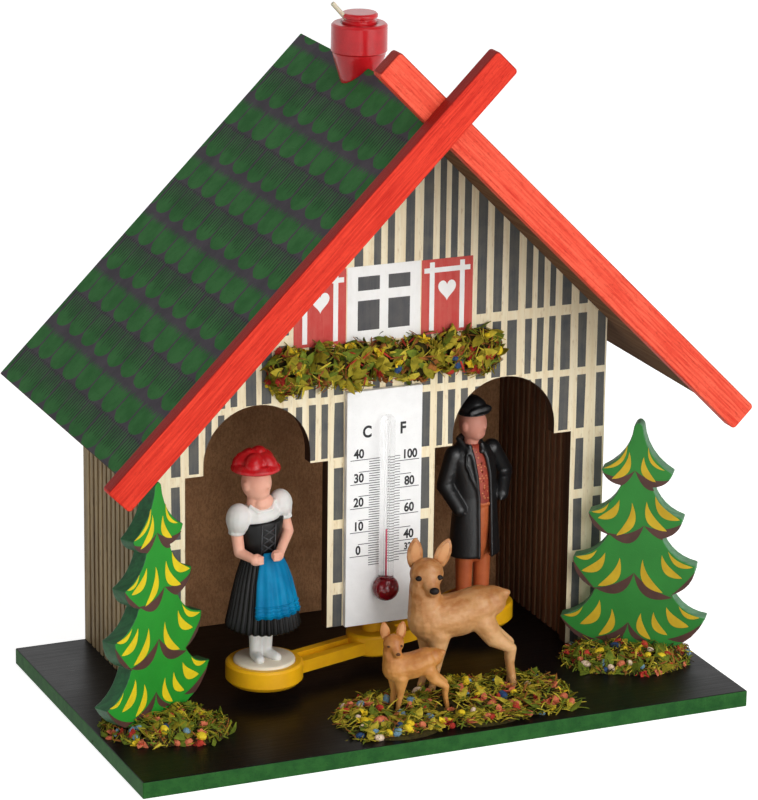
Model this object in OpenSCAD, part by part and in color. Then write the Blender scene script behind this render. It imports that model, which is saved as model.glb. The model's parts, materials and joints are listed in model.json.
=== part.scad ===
// Weather house: a small wooden chalet whose two figures ride on a swinging arm.
// The arm hangs on a strand of gut that twists and untwists with the moisture of the air.
// Frame: millimetres, X to the right, Y into the house, Z up, origin under the middle of the base.

/* [Base board] */
// Width of the base board, side to side
base_w = 150; // [144:1:180]
// Depth of the base board, front to back
base_d = 88.8; // [84:0.2:110]
// Thickness of the base board
base_t = 4; // [3:0.5:6]

/* [House walls] */
// Width of the house over its side walls
house_w = 115; // [110:1:126]
// Depth of the porch, from the front edge of the base to the front wall
porch_d = 43.4; // [40:0.2:50]
// Gap between the back of the house and the back edge of the base
back_margin = 0.3; // [0:0.1:4]
// Thickness of the front wall
front_t = 3.4; // [2.4:0.1:5]
// Thickness of each side wall
side_t = 7.5; // [5:0.1:8]
// Thickness of the back wall
back_t = 2.6; // [1.6:0.1:5]
// Spacing of the upright grooves in the side walls
groove_pitch = 3; // [2:0.1:5]
// Width of one groove
groove_w = 1.1; // [0.4:0.1:1.4]
// Depth of one groove
groove_depth = 0.8; // [0.3:0.1:1.6]

/* [Doorways] */
// Width of each doorway
door_w = 35.2; // [32:0.1:36]
// Height of the doorway's shoulders above the base
door_h = 53.6; // [50:0.1:58]
// Width of the round arch above the shoulders
arch_w = 26.3; // [20:0.1:28]
// Straight part of the arch under its half circle
arch_rise = 2.3; // [0.5:0.1:5]
// Width of the pillar between the doorways
pillar_w = 27; // [25:0.1:30]
// Height of the passage for the arm under the pillar, above the base
passage_h = 12.6; // [11:0.1:15]

/* [Roof] */
// Height of the ridge above the table
ridge_h = 146.8; // [140:0.2:160]
// Slope of both roof panels in degrees
roof_pitch = 45; // [42:1:47]
// Reach of each roof panel to the side, from the ridge to the eave
roof_reach = 75.8; // [70:0.2:85]
// Thickness of the roof panels
roof_t = 3.4; // [2.4:0.1:5]
// Overhang of the roof before the front wall
front_overhang = 31.4; // [24:0.2:36]
// Overhang of the roof behind the house
back_overhang = 6.2; // [2:0.2:12]
// Thickness of the bargeboards
board_t = 4.15; // [3:0.05:6]
// Width of the bargeboards across their face
board_w = 7.1; // [5:0.1:10]
// Height of the left bargeboard above the roof surface
left_proud = 1.3; // [0:0.1:2.5]
// Height of the right bargeboard above the roof surface
right_proud = 2; // [0:0.1:2.5]
// Length of each bargeboard past the ridge
board_stub = 16.8; // [10:0.2:22]
// Length of each bargeboard past the eave
board_tail = 4.3; // [0:0.1:10]
// Corner radius at the ends of the bargeboards
board_r = 0.9; // [0.2:0.1:2]

/* [Chimney] */
// Distance of the chimney's axis behind the face of the front wall
chimney_back = 16; // [13:0.1:22]
// Outside diameter of the chimney
chimney_d = 13; // [12:0.1:16]
// Height of the chimney's rim above the ridge
chimney_h = 9.6; // [8:0.1:14]
// Diameter of the chimney's foot where it sits on the roof
chimney_foot_d = 8; // [7:0.1:9]
// Diameter of the bore that takes the knob
knob_bore_d = 8; // [7:0.1:9]
// Running clearance of the knob in its bore
knob_clear = 0.05; // [0.02:0.01:0.09]
// Height of the knob's head above the rim
knob_rise = 2.4; // [1.6:0.1:4]
// Diameter of the gut
gut_d = 1.1; // [0.8:0.05:1.4]
// Clearance round the gut where it enters the knob and the arm
gut_clear = 0.07; // [0.03:0.01:0.1]
// Length of the gut's tail outside the knob
tail_len = 4.2; // [2:0.1:6]
// Height of the wire guide for the gut above the base
guide_h = 96; // [80:1:110]
// Diameter of the guide's wire
wire_d = 0.8; // [0.6:0.05:1.2]

/* [Figure arm] */
// Distance of the arm's axis behind the face of the front wall
arm_back = 6.5; // [6.2:0.1:8]
// Sideways offset of the arm's axis from the middle of the house
arm_side = 0.9; // [-1:0.1:1]
// Distance from the arm's axis to the middle of each cup
arm_reach = 32.7; // [31:0.1:34]
// Angle of the arm at rest: the woman stands out by this much
arm_rest = 17; // [10:1:20]
// Gap between the base and the underside of the cups
arm_float = 3.1; // [2.8:0.1:4]
// Outside diameter of the cups
cup_d = 18.1; // [17:0.1:18.4]
// Height of the cups
cup_h = 5.1; // [4:0.1:5.4]
// Depth of the recess in each cup
cup_depth = 2.8; // [2:0.1:3]
// Width of the arm over its two rails
arm_w = 7; // [5:0.1:9]
// Width of each rail
rail_w = 2; // [1.2:0.1:2.4]
// Diameter of the hub
hub_d = 12.4; // [10:0.1:13]
// Diameter of the hub's upright boss
boss_d = 4.8; // [4.4:0.1:5.6]
// Height of the boss above the cups' rims
boss_rise = 10; // [6:0.5:20]

/* [Figures] */
// Diameter of the disc under each figure
disc_d = 14.4; // [13:0.1:14.6]
// Thickness of the disc under each figure
disc_t = 3.1; // [3:0.1:4.5]
// Height of the woman above her disc
woman_h = 51.4; // [46:0.2:53]
// Height of the man above his disc
man_h = 51.1; // [46:0.1:53]

/* [Thermometer] */
// Width of the thermometer card
card_w = 18.9; // [16:0.1:22]
// Height of the thermometer card
card_h = 57.4; // [50:0.2:60]
// Thickness of the thermometer card
card_t = 1.5; // [0.8:0.1:2.5]
// Diameter of the glass tube
tube_d = 3.5; // [2.6:0.1:4]
// Diameter of the bulb
bulb_d = 6.2; // [5:0.1:7]
// Height of the bulb's middle above the lower edge of the card
bulb_h = 9.3; // [6:0.1:12]
// Length of the tube above the bulb's middle
tube_len = 42.4; // [38:0.2:46]
// Diameter of the spirit column
column_d = 1; // [0.7:0.1:1.4]
// Length of the spirit column above the bulb's middle
column_len = 14.5; // [8:0.5:32]

/* [Trees and animals] */
// Thickness of the tree cut-outs
tree_t = 4; // [3:0.1:5]
// Height of the trees
tree_h = 58.3; // [50:0.1:64]
// Half width of a tree's lowest branches
tree_half = 17.5; // [14:0.1:18.5]
// Distance of each tree's trunk from the middle of the base
tree_x = 61; // [60:0.5:64]
// Distance of the trunks before the front wall
tree_front = 11.5; // [10.5:0.1:15]
// Turn of the left tree about its trunk in degrees
left_tree_turn = 28; // [10:1:32]
// Turn of the right tree about its trunk in degrees
right_tree_turn = -35; // [-37:1:-10]
// Height of the doe at her ear tips
doe_h = 37.2; // [33:0.2:39]
// Height of the fawn at its ear tips
fawn_h = 22.6; // [20:0.2:24]
// Height of the moss round the trees
tree_moss_h = 4; // [2.5:0.1:6]
// Height of the moss under the deer
deer_moss_h = 3; // [2:0.1:3.6]
// Radius of the moss round each tree
tree_moss_r = 12.5; // [11:0.1:13.5]
// Radius of the moss under the doe
deer_moss_r = 14.5; // [12:0.1:15]
// How far the moss garland stands out from the wall
garland_t = 6; // [4:0.1:9]
// Length of the moss garland under the window
garland_w = 58; // [46:1:64]

/* [Hidden] */
$fn = 48;

// Small clearances and overlaps for clean cuts
fit = 0.03;
soft_gap = 0.3;
cut = 1;

// Planes of the house
base_front_y = -base_d / 2;
front_y = base_front_y + porch_d;
front_back_y = front_y + front_t;
house_back_y = base_d / 2 - back_margin;
room_half = house_w / 2 - side_t;
roof_front_y = front_y - front_overhang;
roof_back_y = house_back_y + back_overhang;
roof_drop = roof_t / cos(roof_pitch);
slope = tan(roof_pitch);
eave_s = roof_reach / cos(roof_pitch);

// Height of the roof's underside at a distance from the middle
function under_z(x) = ridge_h - roof_drop - abs(x) * slope;

// Doorways and passage
door_x = pillar_w / 2 + door_w / 2;
pillar_z = base_t + passage_h;
arch_r = arch_w / 2;

// Chimney, knob and gut
chimney_y = front_y + chimney_back;
rim_z = ridge_h + chimney_h;
chimney_floor_z = ridge_h + 3.6;
chimney_line_z = ridge_h + 2.8;
chimney_foot_z = ridge_h - chimney_foot_d / 2 * slope - cut;
gut_pass_d = 5;
knob_r = knob_bore_d / 2 - knob_clear;
knob_head_r = knob_bore_d / 2 + 0.25;
knob_top_z = rim_z + knob_rise;
knob_foot_z = chimney_floor_z + knob_clear;
knob_hold_z = knob_foot_z + 4.4;
gut_bore_d = gut_d + 2 * gut_clear;
tail_tilt = 42;
tail_start = [-2.2, chimney_y, rim_z - 0.1];
tail_inside = 2.6;
arm_y = front_y + arm_back;
guide_z = base_t + guide_h;
guide_r = gut_d / 2 + gut_clear + wire_d / 2;
guide_grip = 2;

// Arm and cups
cup_z = base_t + arm_float;
cup_top_z = cup_z + cup_h;
cup_floor_z = cup_top_z - cup_depth;
recess_d = disc_d + 0.2;
boss_top_z = cup_top_z + boss_rise;
plug_d = boss_d - 1.8;
plug_len = 6;
plug_flange = 0.8;
bar_lift = 0.6;
bar_z = cup_z + bar_lift;
bar_h = 1.8;
rail_h = 1.2;
gut_end_z = boss_top_z + plug_flange - plug_len + 1;

// Thermometer
card_z = pillar_z;
card_y = front_y - card_t;
bulb_z = card_z + bulb_h;
bulb_room = 0.2;
tube_y = front_y - max(card_t + tube_d / 2, bulb_d / 2) - fit;
glass_wall = 0.5;

// Trees: each tier is the tip of a bough and the notch under it, as shares of the whole tree
tiers = [[0.486, 0.794, 0.217, 0.731], [0.646, 0.607, 0.371, 0.516],
    [0.84, 0.41, 0.531, 0.278], [1, 0.149, 0.2, 0.03]];
right_lift = 0.04;
bough_sag = 0.13;
skirt_sag = 0.16;
tree_y = front_y - tree_front;
trunk_half = 3;
skirt_half = 0.6 * tree_half;

// Figures and deer are drawn at these heights and then scaled to the heights above
woman_model_h = 51.4;
man_model_h = 51.1;
deer_model_h = 36;

// Deer: the places of their middles and the places of their four hooves
doe_x = 12.3;
doe_y = front_y - 17.8;
fawn_x = -2.9;
fawn_y = front_y - 26.6;
deer_turn = -14;
hooves = [[-6.3, -1.9], [-4.6, 1.9], [12.4, -2], [10.6, 2]];
hoof_r = 1;
hoof_room = 1.9;

// Moss: mounds as shares of their patch's radius, across, towards the back, radius, and the share of its height
left_mounds = [[0, -0.16, 1, 1], [0.52, -0.56, 0.72, 0.8]];
right_mounds = [[0, -0.2, 1, 1], [-0.68, -0.08, 0.8, 0.8]];
deer_mounds = [[0.76, -1.86, 1, 1], [-0.66, -2, 0.9, 1], [1.66, -1.79, 0.86, 0.9]];
garland_gap = 1.4;

// Rounded bar in the plane, used for the bargeboards
module rounded_bar(s0, s1, n0, n1, r) {
    translate([s0 + r, n0]) square([s1 - s0 - 2 * r, n1 - n0]);
    translate([s0, n0 + r]) square([s1 - s0, n1 - n0 - 2 * r]);
    for (s = [s0 + r, s1 - r], n = [n0 + r, n1 - r])
        translate([s, n]) circle(r);
}

// Turns a drawing in X and Z into a slab from y0 to y1
module slab(y0, y1) {
    translate([0, y1, 0]) rotate([90, 0, 0]) linear_extrude(y1 - y0) children();
}

// Outline of the house across its width, up to the underside of the roof
module gable(half) {
    polygon([[-half, base_t], [half, base_t], [half, under_z(half)], [0, under_z(0)],
        [-half, under_z(half)]]);
}

// One doorway with its shoulders and arch
module doorway() {
    translate([-door_w / 2, base_t - cut]) square([door_w, door_h + cut]);
    translate([-arch_r, base_t + door_h - cut]) square([arch_w, arch_rise + cut]);
    translate([0, base_t + door_h + arch_rise]) circle(arch_r);
}

module base_board() {
    color("black")
        translate([-base_w / 2, base_front_y, 0]) cube([base_w, base_d, base_t]);
}

module front_wall() {
    color("wheat") difference() {
        slab(front_y, front_back_y) difference() {
            gable(house_w / 2);
            for (side = [-1, 1]) translate([side * door_x, 0]) doorway();
            translate([-door_x, base_t - cut]) square([2 * door_x, passage_h + cut]);
        }
        translate([arm_side, front_back_y + cut, guide_z]) rotate([90, 0, 0])
            cylinder(d = wire_d + 2 * fit, h = guide_grip + fit + cut);
    }
}

// Side wall on the right, grooved on both faces, with its top cut to the roof's slope
module grooved_wall() {
    wall_len = house_back_y - front_back_y;
    count = floor((wall_len - groove_pitch) / groove_pitch);
    first = front_back_y + (wall_len - (count - 1) * groove_pitch) / 2;
    difference() {
        slab(front_back_y, house_back_y)
            polygon([[room_half, base_t], [house_w / 2, base_t],
                [house_w / 2, under_z(house_w / 2)], [room_half, under_z(room_half)]]);
        for (i = [0 : count - 1], face = [room_half, house_w / 2])
            translate([face - groove_depth, first + i * groove_pitch - groove_w / 2, base_t - cut])
                cube([2 * groove_depth, groove_w, ridge_h]);
    }
}

module right_side_wall() {
    color("tan") grooved_wall();
}

module left_side_wall() {
    color("tan") mirror([1, 0, 0]) grooved_wall();
}

module back_wall() {
    color("sienna") slab(house_back_y - back_t, house_back_y) gable(room_half);
}

// Cross section of the right roof panel, mitred at the ridge and square at the eave
module roof_section() {
    polygon([[0, ridge_h], [roof_reach, ridge_h - roof_reach * slope],
        [roof_reach - roof_t * sin(roof_pitch), ridge_h - roof_reach * slope - roof_t * cos(roof_pitch)],
        [0, ridge_h - roof_drop]]);
}

module gut_passage() {
    translate([0, chimney_y, 0]) cylinder(d = gut_pass_d, h = rim_z);
}

module right_roof_panel() {
    color("darkgreen") difference() {
        slab(roof_front_y + board_t, roof_back_y) roof_section();
        gut_passage();
    }
}

module left_roof_panel() {
    color("darkgreen") difference() {
        mirror([1, 0, 0]) slab(roof_front_y, roof_back_y) roof_section();
        gut_passage();
        right_board_bar(board_r / 2);
    }
}

// Bar along the right slope, from past the eave to past the ridge
module right_board_bar(r) {
    slab(roof_front_y, roof_front_y + board_t)
        translate([0, ridge_h]) rotate(-roof_pitch)
            rounded_bar(-board_stub, eave_s + board_tail, right_proud - board_w, right_proud, r);
}

module right_bargeboard() {
    color("orangered") right_board_bar(board_r);
}

module left_bargeboard() {
    color("orangered") slab(roof_front_y - board_t, roof_front_y)
        translate([0, ridge_h]) rotate(roof_pitch)
            rounded_bar(-eave_s - board_tail, board_stub, left_proud - board_w, left_proud, board_r);
}

// Turned chimney: cylinder over a scored line, then a cone that straddles the ridge
module chimney_tube() {
    r = chimney_d / 2;
    score = 0.35;
    lip = 0.5;
    color("firebrick") difference() {
        translate([0, chimney_y, 0]) rotate_extrude()
            polygon([[gut_pass_d / 2, chimney_foot_z], [chimney_foot_d / 2, chimney_foot_z],
                [r - score, chimney_line_z - score], [r - score, chimney_line_z],
                [r, chimney_line_z + score], [r, rim_z - lip], [r - lip, rim_z],
                [knob_bore_d / 2 + lip, rim_z], [knob_bore_d / 2, rim_z - lip],
                [knob_bore_d / 2, chimney_floor_z], [gut_pass_d / 2, chimney_floor_z]]);
        slab(chimney_y - chimney_d, chimney_y + chimney_d)
            polygon([[-chimney_d, ridge_h - chimney_d * slope], [0, ridge_h],
                [chimney_d, ridge_h - chimney_d * slope]]);
    }
}

// Gut running through the knob and out at its side
module tail_bar(d, from, to) {
    translate(tail_start) rotate([0, -tail_tilt, 0])
        translate([0, 0, from]) cylinder(d = d, h = to - from);
}

module chimney_knob() {
    waist = 0.35;
    edge = 0.4;
    color("firebrick") difference() {
        translate([0, chimney_y, 0]) rotate_extrude()
            polygon([[0, knob_foot_z], [knob_r - edge, knob_foot_z], [knob_r, knob_foot_z + edge],
                [knob_r, rim_z + edge], [knob_r - waist, rim_z + 2 * edge],
                [knob_r - waist, rim_z + 3 * edge], [knob_head_r, rim_z + 3.5 * edge],
                [knob_head_r, knob_top_z - edge], [knob_head_r - edge, knob_top_z], [0, knob_top_z]]);
        translate([0, chimney_y, knob_foot_z - cut]) cylinder(d = gut_bore_d, h = knob_hold_z - knob_foot_z + cut);
        tail_bar(gut_d + 2 * fit, -fit, tail_inside + tail_len);
    }
}

module gut_tail() {
    color("ivory") tail_bar(gut_d, 0, tail_inside + tail_len);
}

// The gut hangs from the knob, bends at the guide and drops plumb into the arm
gut_route = [[0, chimney_y, knob_hold_z - gut_clear], [0, chimney_y, knob_foot_z - gut_d],
    [arm_side, arm_y, guide_z], [arm_side, arm_y, gut_end_z]];
gut_sides = 10;

// Lean of the gut from the vertical along one stretch of its route
function gut_lean(i) = let (d = gut_route[i] - gut_route[i + 1]) atan(d[1] / d[2]);

// Ring of points round one place of the route, square to the gut there
function gut_ring(i) =
    let (last = len(gut_route) - 1, lean = (gut_lean(max(i - 1, 0)) + gut_lean(min(i, last - 1))) / 2)
    [for (k = [0 : gut_sides - 1]) let (a = 360 * k / gut_sides, r = gut_d / 2)
        gut_route[i] + r * [cos(a), sin(a) * cos(lean), -sin(a) * sin(lean)]];

// Solid lofted through rings of points, from the top ring down, each ring anticlockwise from above
module loft(rings) {
    n = len(rings[0]);
    last = len(rings) - 1;
    walls = [for (i = [0 : last - 1], k = [0 : n - 1])
        let (a = i * n + k, b = i * n + (k + 1) % n)
        each [[a, b, b + n], [a, b + n, a + n]]];
    top = [for (k = [n - 1 : -1 : 0]) k];
    bottom = [for (k = [0 : n - 1]) last * n + k];
    polyhedron([for (ring = rings) each ring], concat(walls, [top, bottom]));
}

module gut_strand() {
    color("ivory") loft([for (i = [0 : len(gut_route) - 1]) gut_ring(i)]);
}

// Wire eye driven into the back of the front wall
module gut_guide_eye() {
    shank_y = arm_y - guide_r;
    color("silver") {
        translate([arm_side, arm_y, guide_z]) rotate_extrude()
            translate([guide_r, 0]) circle(d = wire_d, $fn = 24);
        translate([arm_side, shank_y, guide_z]) rotate([90, 0, 0])
            cylinder(d = wire_d, h = shank_y - front_back_y + guide_grip);
    }
}

// Places its children at one end of the arm: side -1 is the woman, 1 the man
module at_arm_end(side) {
    translate([arm_side, arm_y, 0]) rotate([0, 0, arm_rest])
        translate([side * arm_reach, 0, 0]) children();
}

module figure_arm() {
    edge = 0.5;
    color("gold") difference() {
        union() {
            translate([arm_side, arm_y, 0]) rotate([0, 0, arm_rest]) {
                translate([-arm_reach, -arm_w / 2, bar_z]) cube([2 * arm_reach, arm_w, bar_h]);
                for (side = [-1, 1])
                    translate([-arm_reach, side * (arm_w - rail_w) / 2 - rail_w / 2, bar_z])
                        cube([2 * arm_reach, rail_w, bar_h + rail_h]);
            }
            translate([arm_side, arm_y, 0]) rotate_extrude()
                polygon([[0, cup_z], [hub_d / 2 - edge, cup_z], [hub_d / 2, cup_z + edge],
                    [hub_d / 2, cup_top_z - edge], [hub_d / 2 - edge, cup_top_z],
                    [boss_d / 2, cup_top_z], [boss_d / 2, boss_top_z], [0, boss_top_z]]);
            for (side = [-1, 1]) at_arm_end(side) rotate_extrude()
                polygon([[0, cup_z], [cup_d / 2 - 2 * edge, cup_z], [cup_d / 2, cup_z + 2 * edge],
                    [cup_d / 2, cup_top_z - edge], [cup_d / 2 - edge, cup_top_z], [0, cup_top_z]]);
        }
        for (side = [-1, 1]) at_arm_end(side)
            translate([0, 0, cup_floor_z]) cylinder(d = recess_d, h = cup_depth + cut);
        translate([arm_side, arm_y, boss_top_z + plug_flange - plug_len - fit])
            cylinder(d = plug_d + 2 * fit, h = plug_len + cut);
    }
}

// Flanged plug that clamps the end of the gut in the boss
module gut_clamp_plug() {
    color("gold") translate([arm_side, arm_y, 0]) difference() {
        union() {
            translate([0, 0, boss_top_z + plug_flange - plug_len]) cylinder(d = plug_d, h = plug_len);
            translate([0, 0, boss_top_z]) cylinder(d = boss_d, h = plug_flange);
        }
        translate([0, 0, gut_end_z - gut_clear]) cylinder(d = gut_bore_d, h = plug_len + cut);
    }
}

// Blended limb between two balls given as [place, radius]
module limb(a, b) {
    hull() {
        translate(a[0]) sphere(a[1], $fn = 12);
        translate(b[0]) sphere(b[1], $fn = 12);
    }
}

// Flattened ball, wide, deep and high
module egg(place, size) {
    translate(place) scale(size) sphere(1, $fn = 16);
}

// Round disc that drops into a cup, with the figure on top
module on_disc(figure_scale) {
    cylinder(d = disc_d, h = disc_t);
    translate([0, 0, disc_t]) scale(figure_scale) children();
}

// Pleated skirt lofted through levels given as [height, radius], from the waist down
module pleated_skirt(levels) {
    pleats = 18;
    depth = 0.5;
    steps = pleats * 4;
    loft([for (level = levels) [for (i = [0 : steps - 1])
        let (a = 360 * i / steps, r = level[1] - depth / 2 * (1 + cos(90 * i)))
        [r * cos(a), r * sin(a), level[0]]]]);
}

// Apron laid over the front of the skirt, from its band down to its hem
module apron(levels) {
    spread = 38;
    proud = 0.35;
    inset = 1.2;
    steps = 8;
    loft([for (level = levels) concat(
        [for (i = [0 : steps]) let (a = -90 - spread + 2 * spread * i / steps, r = level[1] + proud)
            [r * cos(a), r * sin(a), level[0]]],
        [for (i = [steps : -1 : 0]) let (a = -90 - spread + 2 * spread * i / steps, r = level[1] - inset)
            [r * cos(a), r * sin(a), level[0]]])]);
}

// Woman in a pleated skirt, apron and puffed sleeves, who leans to her right, in a cap with round folds
module woman_figure() {
    turn_out = 5;
    shoulder_tilt = -12;
    leg_x = -0.7;
    skirt_x = -0.4;
    head_x = -2.3;
    waist = [26.4, 4.1];
    hip = [20, 6.4];
    hem = [8.2, 8.9];
    apron_band = [26.8, 4];
    apron_hem = [11, 8.2];
    left_elbow = [[-6.9, -0.8, 26.8], 1.4];
    right_elbow = [[6.5, -0.6, 30.4], 1.35];
    color("mediumvioletred") at_arm_end(-1) rotate([0, 0, turn_out - arm_rest])
        translate([0, 0, cup_floor_z]) on_disc(woman_h / woman_model_h) {
        for (side = [-1, 1]) {
            limb([[leg_x + side * 1.4, 0.4, 1], 1.5], [[leg_x + side * 1.4, 0.4, 9.5], 1.6]);
            limb([[leg_x + side * 1.4, 0, 0.9], 1.4], [[leg_x + side * 2.4 + 0.5, -2.8, 0.6], 1.2]);
        }
        translate([skirt_x, 0, 0]) {
            pleated_skirt([waist, hip, hem]);
            apron([apron_band, hip, apron_hem]);
        }
        egg([-0.9, 0, 26.6], [4.3, 3.5, 3]);
        egg([-1.1, 0, 31.2], [4.7, 3.7, 5]);
        translate([-1.5, 0.2, 35.8]) rotate([0, shoulder_tilt, 0]) egg([0, 0, 0], [5.2, 3.3, 2.6]);
        egg([-6.8, -0.2, 34.7], [3.1, 3, 3.8]);
        egg([3.9, 0.4, 37.6], [2.9, 2.9, 3.4]);
        limb([[-7.2, 0, 31.8], 1.6], left_elbow);
        limb(left_elbow, [[-3.4, -5, 26.4], 1.25]);
        limb([[4.9, 0.4, 35], 1.5], right_elbow);
        limb(right_elbow, [[0.8, -5.6, 26.8], 1.5]);
        limb([[-1.8, 0.1, 36.4], 2], [[-2.2, 0, 39.6], 1.9]);
        egg([head_x, -0.2, 43], [3.4, 3.6, 4.2]);
        limb([[head_x, -3.5, 43.6], 0.4], [[head_x, -3.8, 42.2], 0.6]);
        translate([head_x, 0.3, 45.7]) {
            cylinder(r1 = 6.1, r2 = 5.6, h = 1.5, $fn = 28);
            egg([0, 0, 1.1], [5.4, 5.4, 4.6]);
            for (a = [30 : 60 : 330]) egg([3.4 * cos(a), 3.4 * sin(a), 2.6], [2, 2, 1.8]);
        }
    }
}

// Opening down the front of the coat, between two heights
module coat_opening(low, high) {
    hull() for (place = [low, high])
        translate(place) linear_extrude(0.1) polygon([[-0.9, -3.3], [-1.6, -7], [1.6, -7], [0.9, -3.3]]);
}

// Man in a long open coat with his hands in its pockets, in a pointed hat
module man_figure() {
    turn_out = 8;
    body_x = -0.8;
    head_x = -2.3;
    left_elbow = [[-8.6, 1.4, 29.3], 1.9];
    right_elbow = [[8.6, 1.6, 30.4], 1.9];
    color("dimgray") at_arm_end(1) rotate([0, 0, turn_out - arm_rest])
        translate([0, 0, cup_floor_z]) on_disc(man_h / man_model_h) {
        for (side = [-1, 1]) {
            limb([[body_x + side * 2.5, 0.2, 1], 1.9], [[body_x + side * 2.6, 0.2, 20], 2.5]);
            limb([[body_x + side * 2.6, 0.2, 0.9], 1.5], [[body_x + side * 3.1, -3, 0.7], 1.3]);
        }
        difference() {
            union() {
                hull() {
                    egg([body_x, 0.6, 12], [6.6, 4.6, 0.6]);
                    egg([body_x, 0.3, 27], [5.3, 3.9, 1]);
                }
                hull() {
                    egg([body_x, 0.3, 26.6], [5.2, 3.8, 1]);
                    egg([-1.7, 0.2, 37.8], [5.8, 3.4, 1.8]);
                }
            }
            coat_opening([-0.5, 0, 11], [-0.5, 0, 27]);
            coat_opening([-0.5, 0, 27], [-2.8, 0, 38]);
        }
        limb([[-6.8, 0.3, 36.9], 2.2], left_elbow);
        limb(left_elbow, [[-6.2, -2.9, 23.6], 1.7]);
        limb([[3.9, 0.3, 37.1], 2.2], right_elbow);
        limb(right_elbow, [[5.2, -2.4, 24.9], 1.7]);
        limb([[-2.2, 0.2, 37.2], 2.2], [[head_x, -0.1, 41], 1.9]);
        egg([head_x, -0.2, 44.1], [3.3, 3.5, 4.1]);
        limb([[head_x, -3.4, 44.6], 0.4], [[head_x, -3.7, 43.1], 0.6]);
        translate([head_x + 0.4, 0, 46.9]) {
            egg([0, -0.5, 0.4], [4.4, 4.6, 0.7]);
            hull() {
                egg([0, 0.3, 0.9], [3.7, 3.7, 0.8]);
                egg([0.1, 0.3, 3.4], [1.5, 2.2, 0.8]);
            }
        }
    }
}

// Standing deer with its nose to -X and its face turned to the front
module deer_body() {
    for (i = [0 : 3]) {
        fore = i < 2;
        hoof = [hooves[i][0], hooves[i][1], hoof_r];
        knee = fore ? hoof + [1.1, 0, 6.2] : hoof + [-0.7, 0, 9.2];
        hip = fore ? hoof + [1.3, 0, 13.4] : hoof + [-6.6, 0, 15];
        gaskin = hoof + [-4.6, 0, 11.8];
        if (fore) limb([hip, 3], [knee, 1.25]);
        else {
            limb([hip, 3.6], [gaskin, 2.3]);
            limb([gaskin, 2.3], [knee, 1.3]);
        }
        limb([knee, fore ? 1.25 : 1.3], [hoof, hoof_r]);
    }
    limb([[-6.8, 0, 17.2], 5], [[0, 0, 18.2], 5.2]);
    limb([[0, 0, 18.2], 5.2], [[4.4, 0, 19.8], 4.8]);
    limb([[4.4, 0, 19.8], 4.8], [[7.6, 0, 20.4], 4]);
    limb([[10.6, 0, 22.4], 0.9], [[11.2, 0, 20.4], 0.6]);
    limb([[-7.4, 0, 18.6], 4.4], [[-8.2, -0.6, 25], 3.5]);
    limb([[-8.2, -0.6, 25], 3.5], [[-7.7, -0.8, 28.4], 3.6]);
    limb([[-7.7, -0.8, 28.4], 3.6], [[-6.8, -4.6, 25.5], 1.6]);
    ear([-9.9, 0.3, 30.6], [-9.3, 0.6, 35.5]);
    ear([-5.2, 0.3, 30.4], [-2.6, 0.6, 35]);
}

// Flat ear, widest in its middle
module ear(root, tip) {
    hull() {
        translate(root) sphere(1, $fn = 12);
        egg((root + tip) / 2 + [0, 0, 0.3], [1.7, 0.8, 1.7]);
        translate(tip) sphere(0.5, $fn = 12);
    }
}

module doe_at() {
    translate([doe_x, doe_y, base_t]) rotate([0, 0, deer_turn]) scale(doe_h / deer_model_h) children();
}

module fawn_at() {
    translate([fawn_x, fawn_y, base_t]) rotate([0, 0, deer_turn]) scale(fawn_h / deer_model_h) children();
}

// The hooves are cut flat where they stand on the base
module standing() {
    floor_w = 2 * deer_model_h;
    difference() {
        children();
        translate([-floor_w / 2, -floor_w / 2, -floor_w]) cube(floor_w);
    }
}

module doe() {
    color("peru") doe_at() standing() deer_body();
}

module fawn() {
    color("peru") fawn_at() standing() deer_body();
}

// Points of a shallow curve from p to q, bowed sideways by a share of its length
function bow(p, q, sag, n = 6) = [for (i = [0 : n - 1])
    let (t = i / n, d = q - p) p + d * t + [-d[1], d[0]] * sag * 4 * t * (1 - t)];

// One half of the fir outline, from the rounded top down to the trunk, its lowest bough raised by a share
function fir_side(lift) = let (last = len(tiers) - 1) concat([[0.02 * tree_half, tree_h]],
    [for (i = [0 : last])
        let (above = i == 0 ? [0.06 * tree_half, 0.988 * tree_h] : [tiers[i - 1][2] * tree_half, tiers[i - 1][3] * tree_h],
            tip = [tiers[i][0] * tree_half, (tiers[i][1] + (i == last ? lift : 0)) * tree_h],
            notch = [tiers[i][2] * tree_half, tiers[i][3] * tree_h])
        each concat(bow(above, tip, -bough_sag), bow(tip, notch, skirt_sag))],
    [[trunk_half, tiers[last][3] * tree_h], [trunk_half, 0]]);

module fir_cutout() {
    right = fir_side(right_lift);
    left = fir_side(0);
    rotate([90, 0, 0]) translate([0, 0, -tree_t / 2]) linear_extrude(tree_t)
        polygon(concat(right, [for (i = [len(left) - 1 : -1 : 0]) [-left[i][0], left[i][1]]]));
}

module left_tree_at() {
    translate([-tree_x, tree_y, base_t]) rotate([0, 0, left_tree_turn]) children();
}

module right_tree_at() {
    translate([tree_x, tree_y, base_t]) rotate([0, 0, right_tree_turn]) children();
}

module left_tree() {
    color("forestgreen") left_tree_at() fir_cutout();
}

module right_tree() {
    color("forestgreen") right_tree_at() fir_cutout();
}

// Low mound of moss with a rounded top, its place and radius given together
module mound(place, h) {
    r = place[2];
    translate([place[0], place[1], 0]) rotate_extrude()
        polygon([[0, 0], [r, 0], [0.94 * r, 0.35 * h], [0.8 * r, 0.7 * h], [0.5 * r, 0.95 * h], [0, h]]);
}

// Room for a tree's thickness and lowest boughs
module trunk_slot() {
    w = 2 * skirt_half + 2 * soft_gap;
    translate([-w / 2, -tree_t / 2 - soft_gap, -cut])
        cube([w, tree_t + 2 * soft_gap, tree_h]);
}

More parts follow.
